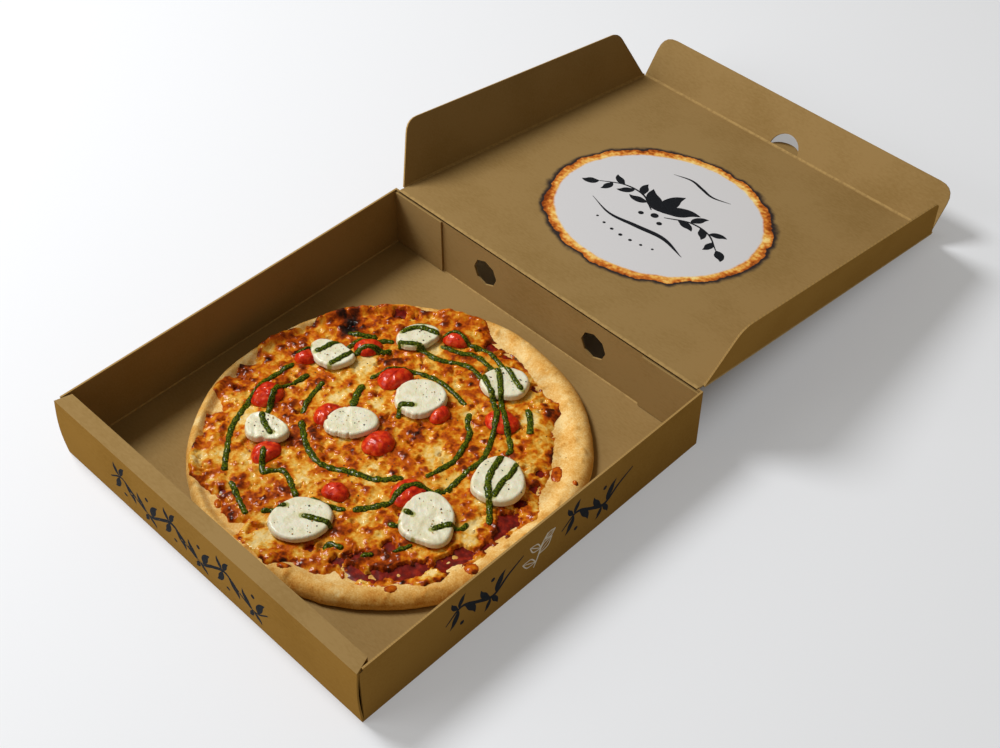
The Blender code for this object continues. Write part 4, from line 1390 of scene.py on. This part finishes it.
PEPPER_ON_SLICE = 26
PEPPER_ELSEWHERE = 260
PEPPER_REACH = 132.0
GRAIN_LEAST = 0.55
CRUMB_SHARE = 0.35


def crumb_material(name, first, second):
    """Dry little grains of uneven tone."""
    material, tree, shader, spot = new_material(name, 0.6)
    tone = grain(tree, spot, 1.5 * MM, 1.0)
    tree.links.new(shades(tree, tone, (0.35, first), (0.65, second)), shader.inputs["Base Color"])
    return material


def scatter(name, places, material, seed):
    """Small angular grains lying on the food, all in one mesh."""
    lot = random.Random(seed)
    form = bmesh.new()
    for x, y, size in places:
        made = bmesh.ops.create_icosphere(form, subdivisions=1, radius=size / 2 * MM)["verts"]
        spin = Matrix.Rotation(lot.uniform(0.0, math.tau), 4, "Z")
        squash = Matrix.Diagonal((1.0, lot.uniform(0.5, 0.95), lot.uniform(0.4, 0.8), 1.0))
        seat = pizza_middle + Vector((x, y, height_of_food(x, y) + size * 0.2)) * MM
        for vertex in made:
            vertex.co *= lot.uniform(0.75, 1.15)
        bmesh.ops.transform(form, matrix=Matrix.Translation(seat) @ spin @ squash, verts=made)
    mesh = bpy.data.meshes.new(name)
    form.to_mesh(mesh)
    form.free()
    mesh.materials.append(material)
    piece = link(bpy.data.objects.new(name, mesh))
    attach(piece, "base")
    return piece


pepper_seed = random.Random(7)
pepper_places = []
crumb_places = []
for bearing, distance, *_, reaches in SLICES:
    x, y = round_place(bearing, distance)
    for _ in range(PEPPER_ON_SLICE):
        turn = pepper_seed.uniform(0.0, math.tau)
        away = 0.92 * min(reaches) * math.sqrt(pepper_seed.random())
        size = GRAIN_LEAST + 1.3 * pepper_seed.random() ** 3
        places = crumb_places if pepper_seed.random() < CRUMB_SHARE else pepper_places
        places.append((x + away * math.cos(turn), y + away * math.sin(turn), size))
for _ in range(PEPPER_ELSEWHERE):
    x, y = round_place(360.0 * pepper_seed.random(), PEPPER_REACH * math.sqrt(pepper_seed.random()))
    pepper_places.append((x, y, GRAIN_LEAST + 1.1 * pepper_seed.random() ** 3))

black_pepper = crumb_material("black_pepper", (26, 19, 15), (66, 46, 30))
tan_crumb = crumb_material("tan_crumb", (176, 132, 62), (206, 168, 96))
pepper = scatter("pepper", pepper_places, black_pepper, 11)
crumbs = scatter("crumbs", crumb_places, tan_crumb, 12)


# The studio.
# A pale floor that sweeps up far away and glows a little, a painted light that lifts
# its shadows, faded out as painted shade near the box; a broad key light from the left, a
# softer one from the front and a warm fill all round. The sweep casts and blocks no light.

CAMERA_PLACE = (0.6048, -0.4867, 0.8897)
CAMERA_TURN = (43.621, 0.0, 44.683)
CAMERA_LENS = 56.14
CAMERA_SENSOR = 36.0
FLOOR_REACH = 60.0
LIGHT_DISTANCE = 2.4
LIGHTS = (
    # name, the way towards it, size in m, power in W
    ("key", (-0.60, -0.20, 0.80), 0.9, 49.5),
    ("front", (-0.45, -0.85, 0.38), 1.6, 18.0),
)
FILL = 0.2
SKY_TINT = (1.0, 0.85, 0.6)
FLOOR_GLOW = (0.27, 0.282, 0.3)
GLOW_FADE = 60.0 * MM
SWEEP_START = 8.0
SWEEP_RADIUS = 6.0
SWEEP_TOP = 14.0
SWEEP_BEND = 9
SWEEP_TURN = 4
FLOOR_DROP = 0.2 * MM

floor_mesh = bpy.data.meshes.new("floor")
floor_form = bmesh.new()
bmesh.ops.create_grid(floor_form, x_segments=1, y_segments=1, size=FLOOR_REACH)
floor_form.to_mesh(floor_mesh)
floor_form.free()
floor_paper, tree, shader, spot = new_material("floor_paper", 0.8)
shader.inputs["Base Color"].default_value = paint(200, 202, 206)
# The floor glows: painted light that lifts its shadows. The glow fades out over and beside the box's
# footprint, a painted shade there.
shader.inputs["Emission Color"].default_value = (*FLOOR_GLOW, 1.0)
place = add_node(tree, "SeparateXYZ", {"Vector": spot})
outside = between(tree, place.outputs["Y"], solid_high.y - GLOW_FADE, solid_high.y)
for axis, low, high in (("X", solid_low.x, solid_high.x), ("Y", solid_low.y, solid_high.y)):
    before = between(tree, place.outputs[axis], low + GLOW_FADE, low)
    behind = between(tree, place.outputs[axis], high - GLOW_FADE, high)
    outside = combined(tree, "MAXIMUM", outside, combined(tree, "MAXIMUM", before, behind))
tree.links.new(outside, shader.inputs["Emission Strength"])
floor_mesh.materials.append(floor_paper)
floor = link(bpy.data.objects.new("floor", floor_mesh))
floor.location.z = solid_low.z - FLOOR_DROP

bends = [math.radians(bend) for bend in range(0, 91, SWEEP_BEND)]
profile = [(math.sin(bend), 1.0 - math.cos(bend)) for bend in bends]
profile = [(SWEEP_START + SWEEP_RADIUS * out, SWEEP_RADIUS * up) for out, up in profile]
profile.append((SWEEP_START + SWEEP_RADIUS, SWEEP_TOP))
round_turns = [math.radians(turn) for turn in range(0, 361, SWEEP_TURN)]
sweep = [
    [(reach * math.cos(turn), reach * math.sin(turn), height) for turn in round_turns]
    for reach, height in profile
]
backdrop = lofted("backdrop", sweep, floor_paper, closed=False)
backdrop.location.z = floor.location.z
backdrop.visible_diffuse = False
backdrop.visible_glossy = False
backdrop.visible_transmission = False
backdrop.visible_shadow = False

box_middle = (solid_low + solid_high) / 2
for name, way, size, power in LIGHTS:
    lamp = bpy.data.lights.new(name, "AREA")
    lamp.shape = "DISK"
    lamp.size = size
    lamp.energy = power
    light = link(bpy.data.objects.new(name, lamp))
    way = Vector(way).normalized()
    light.location = box_middle + way * LIGHT_DISTANCE
    light.rotation_euler = way.to_track_quat("Z", "Y").to_euler()

world = bpy.data.worlds.new("studio")
bpy.context.scene.world = world
world.use_nodes = True
background = world.node_tree.nodes["Background"]
background.inputs["Color"].default_value = (*SKY_TINT, 1.0)
background.inputs["Strength"].default_value = FILL

camera_data = bpy.data.cameras.new("camera")
camera_data.sensor_width = CAMERA_SENSOR
camera_data.lens = CAMERA_LENS
camera_data.clip_start = 0.01
camera = link(bpy.data.objects.new("camera", camera_data))
camera.location = CAMERA_PLACE
camera.rotation_euler = [math.radians(turn) for turn in CAMERA_TURN]
bpy.context.scene.camera = camera
bpy.context.scene.view_settings.view_transform = "Standard"
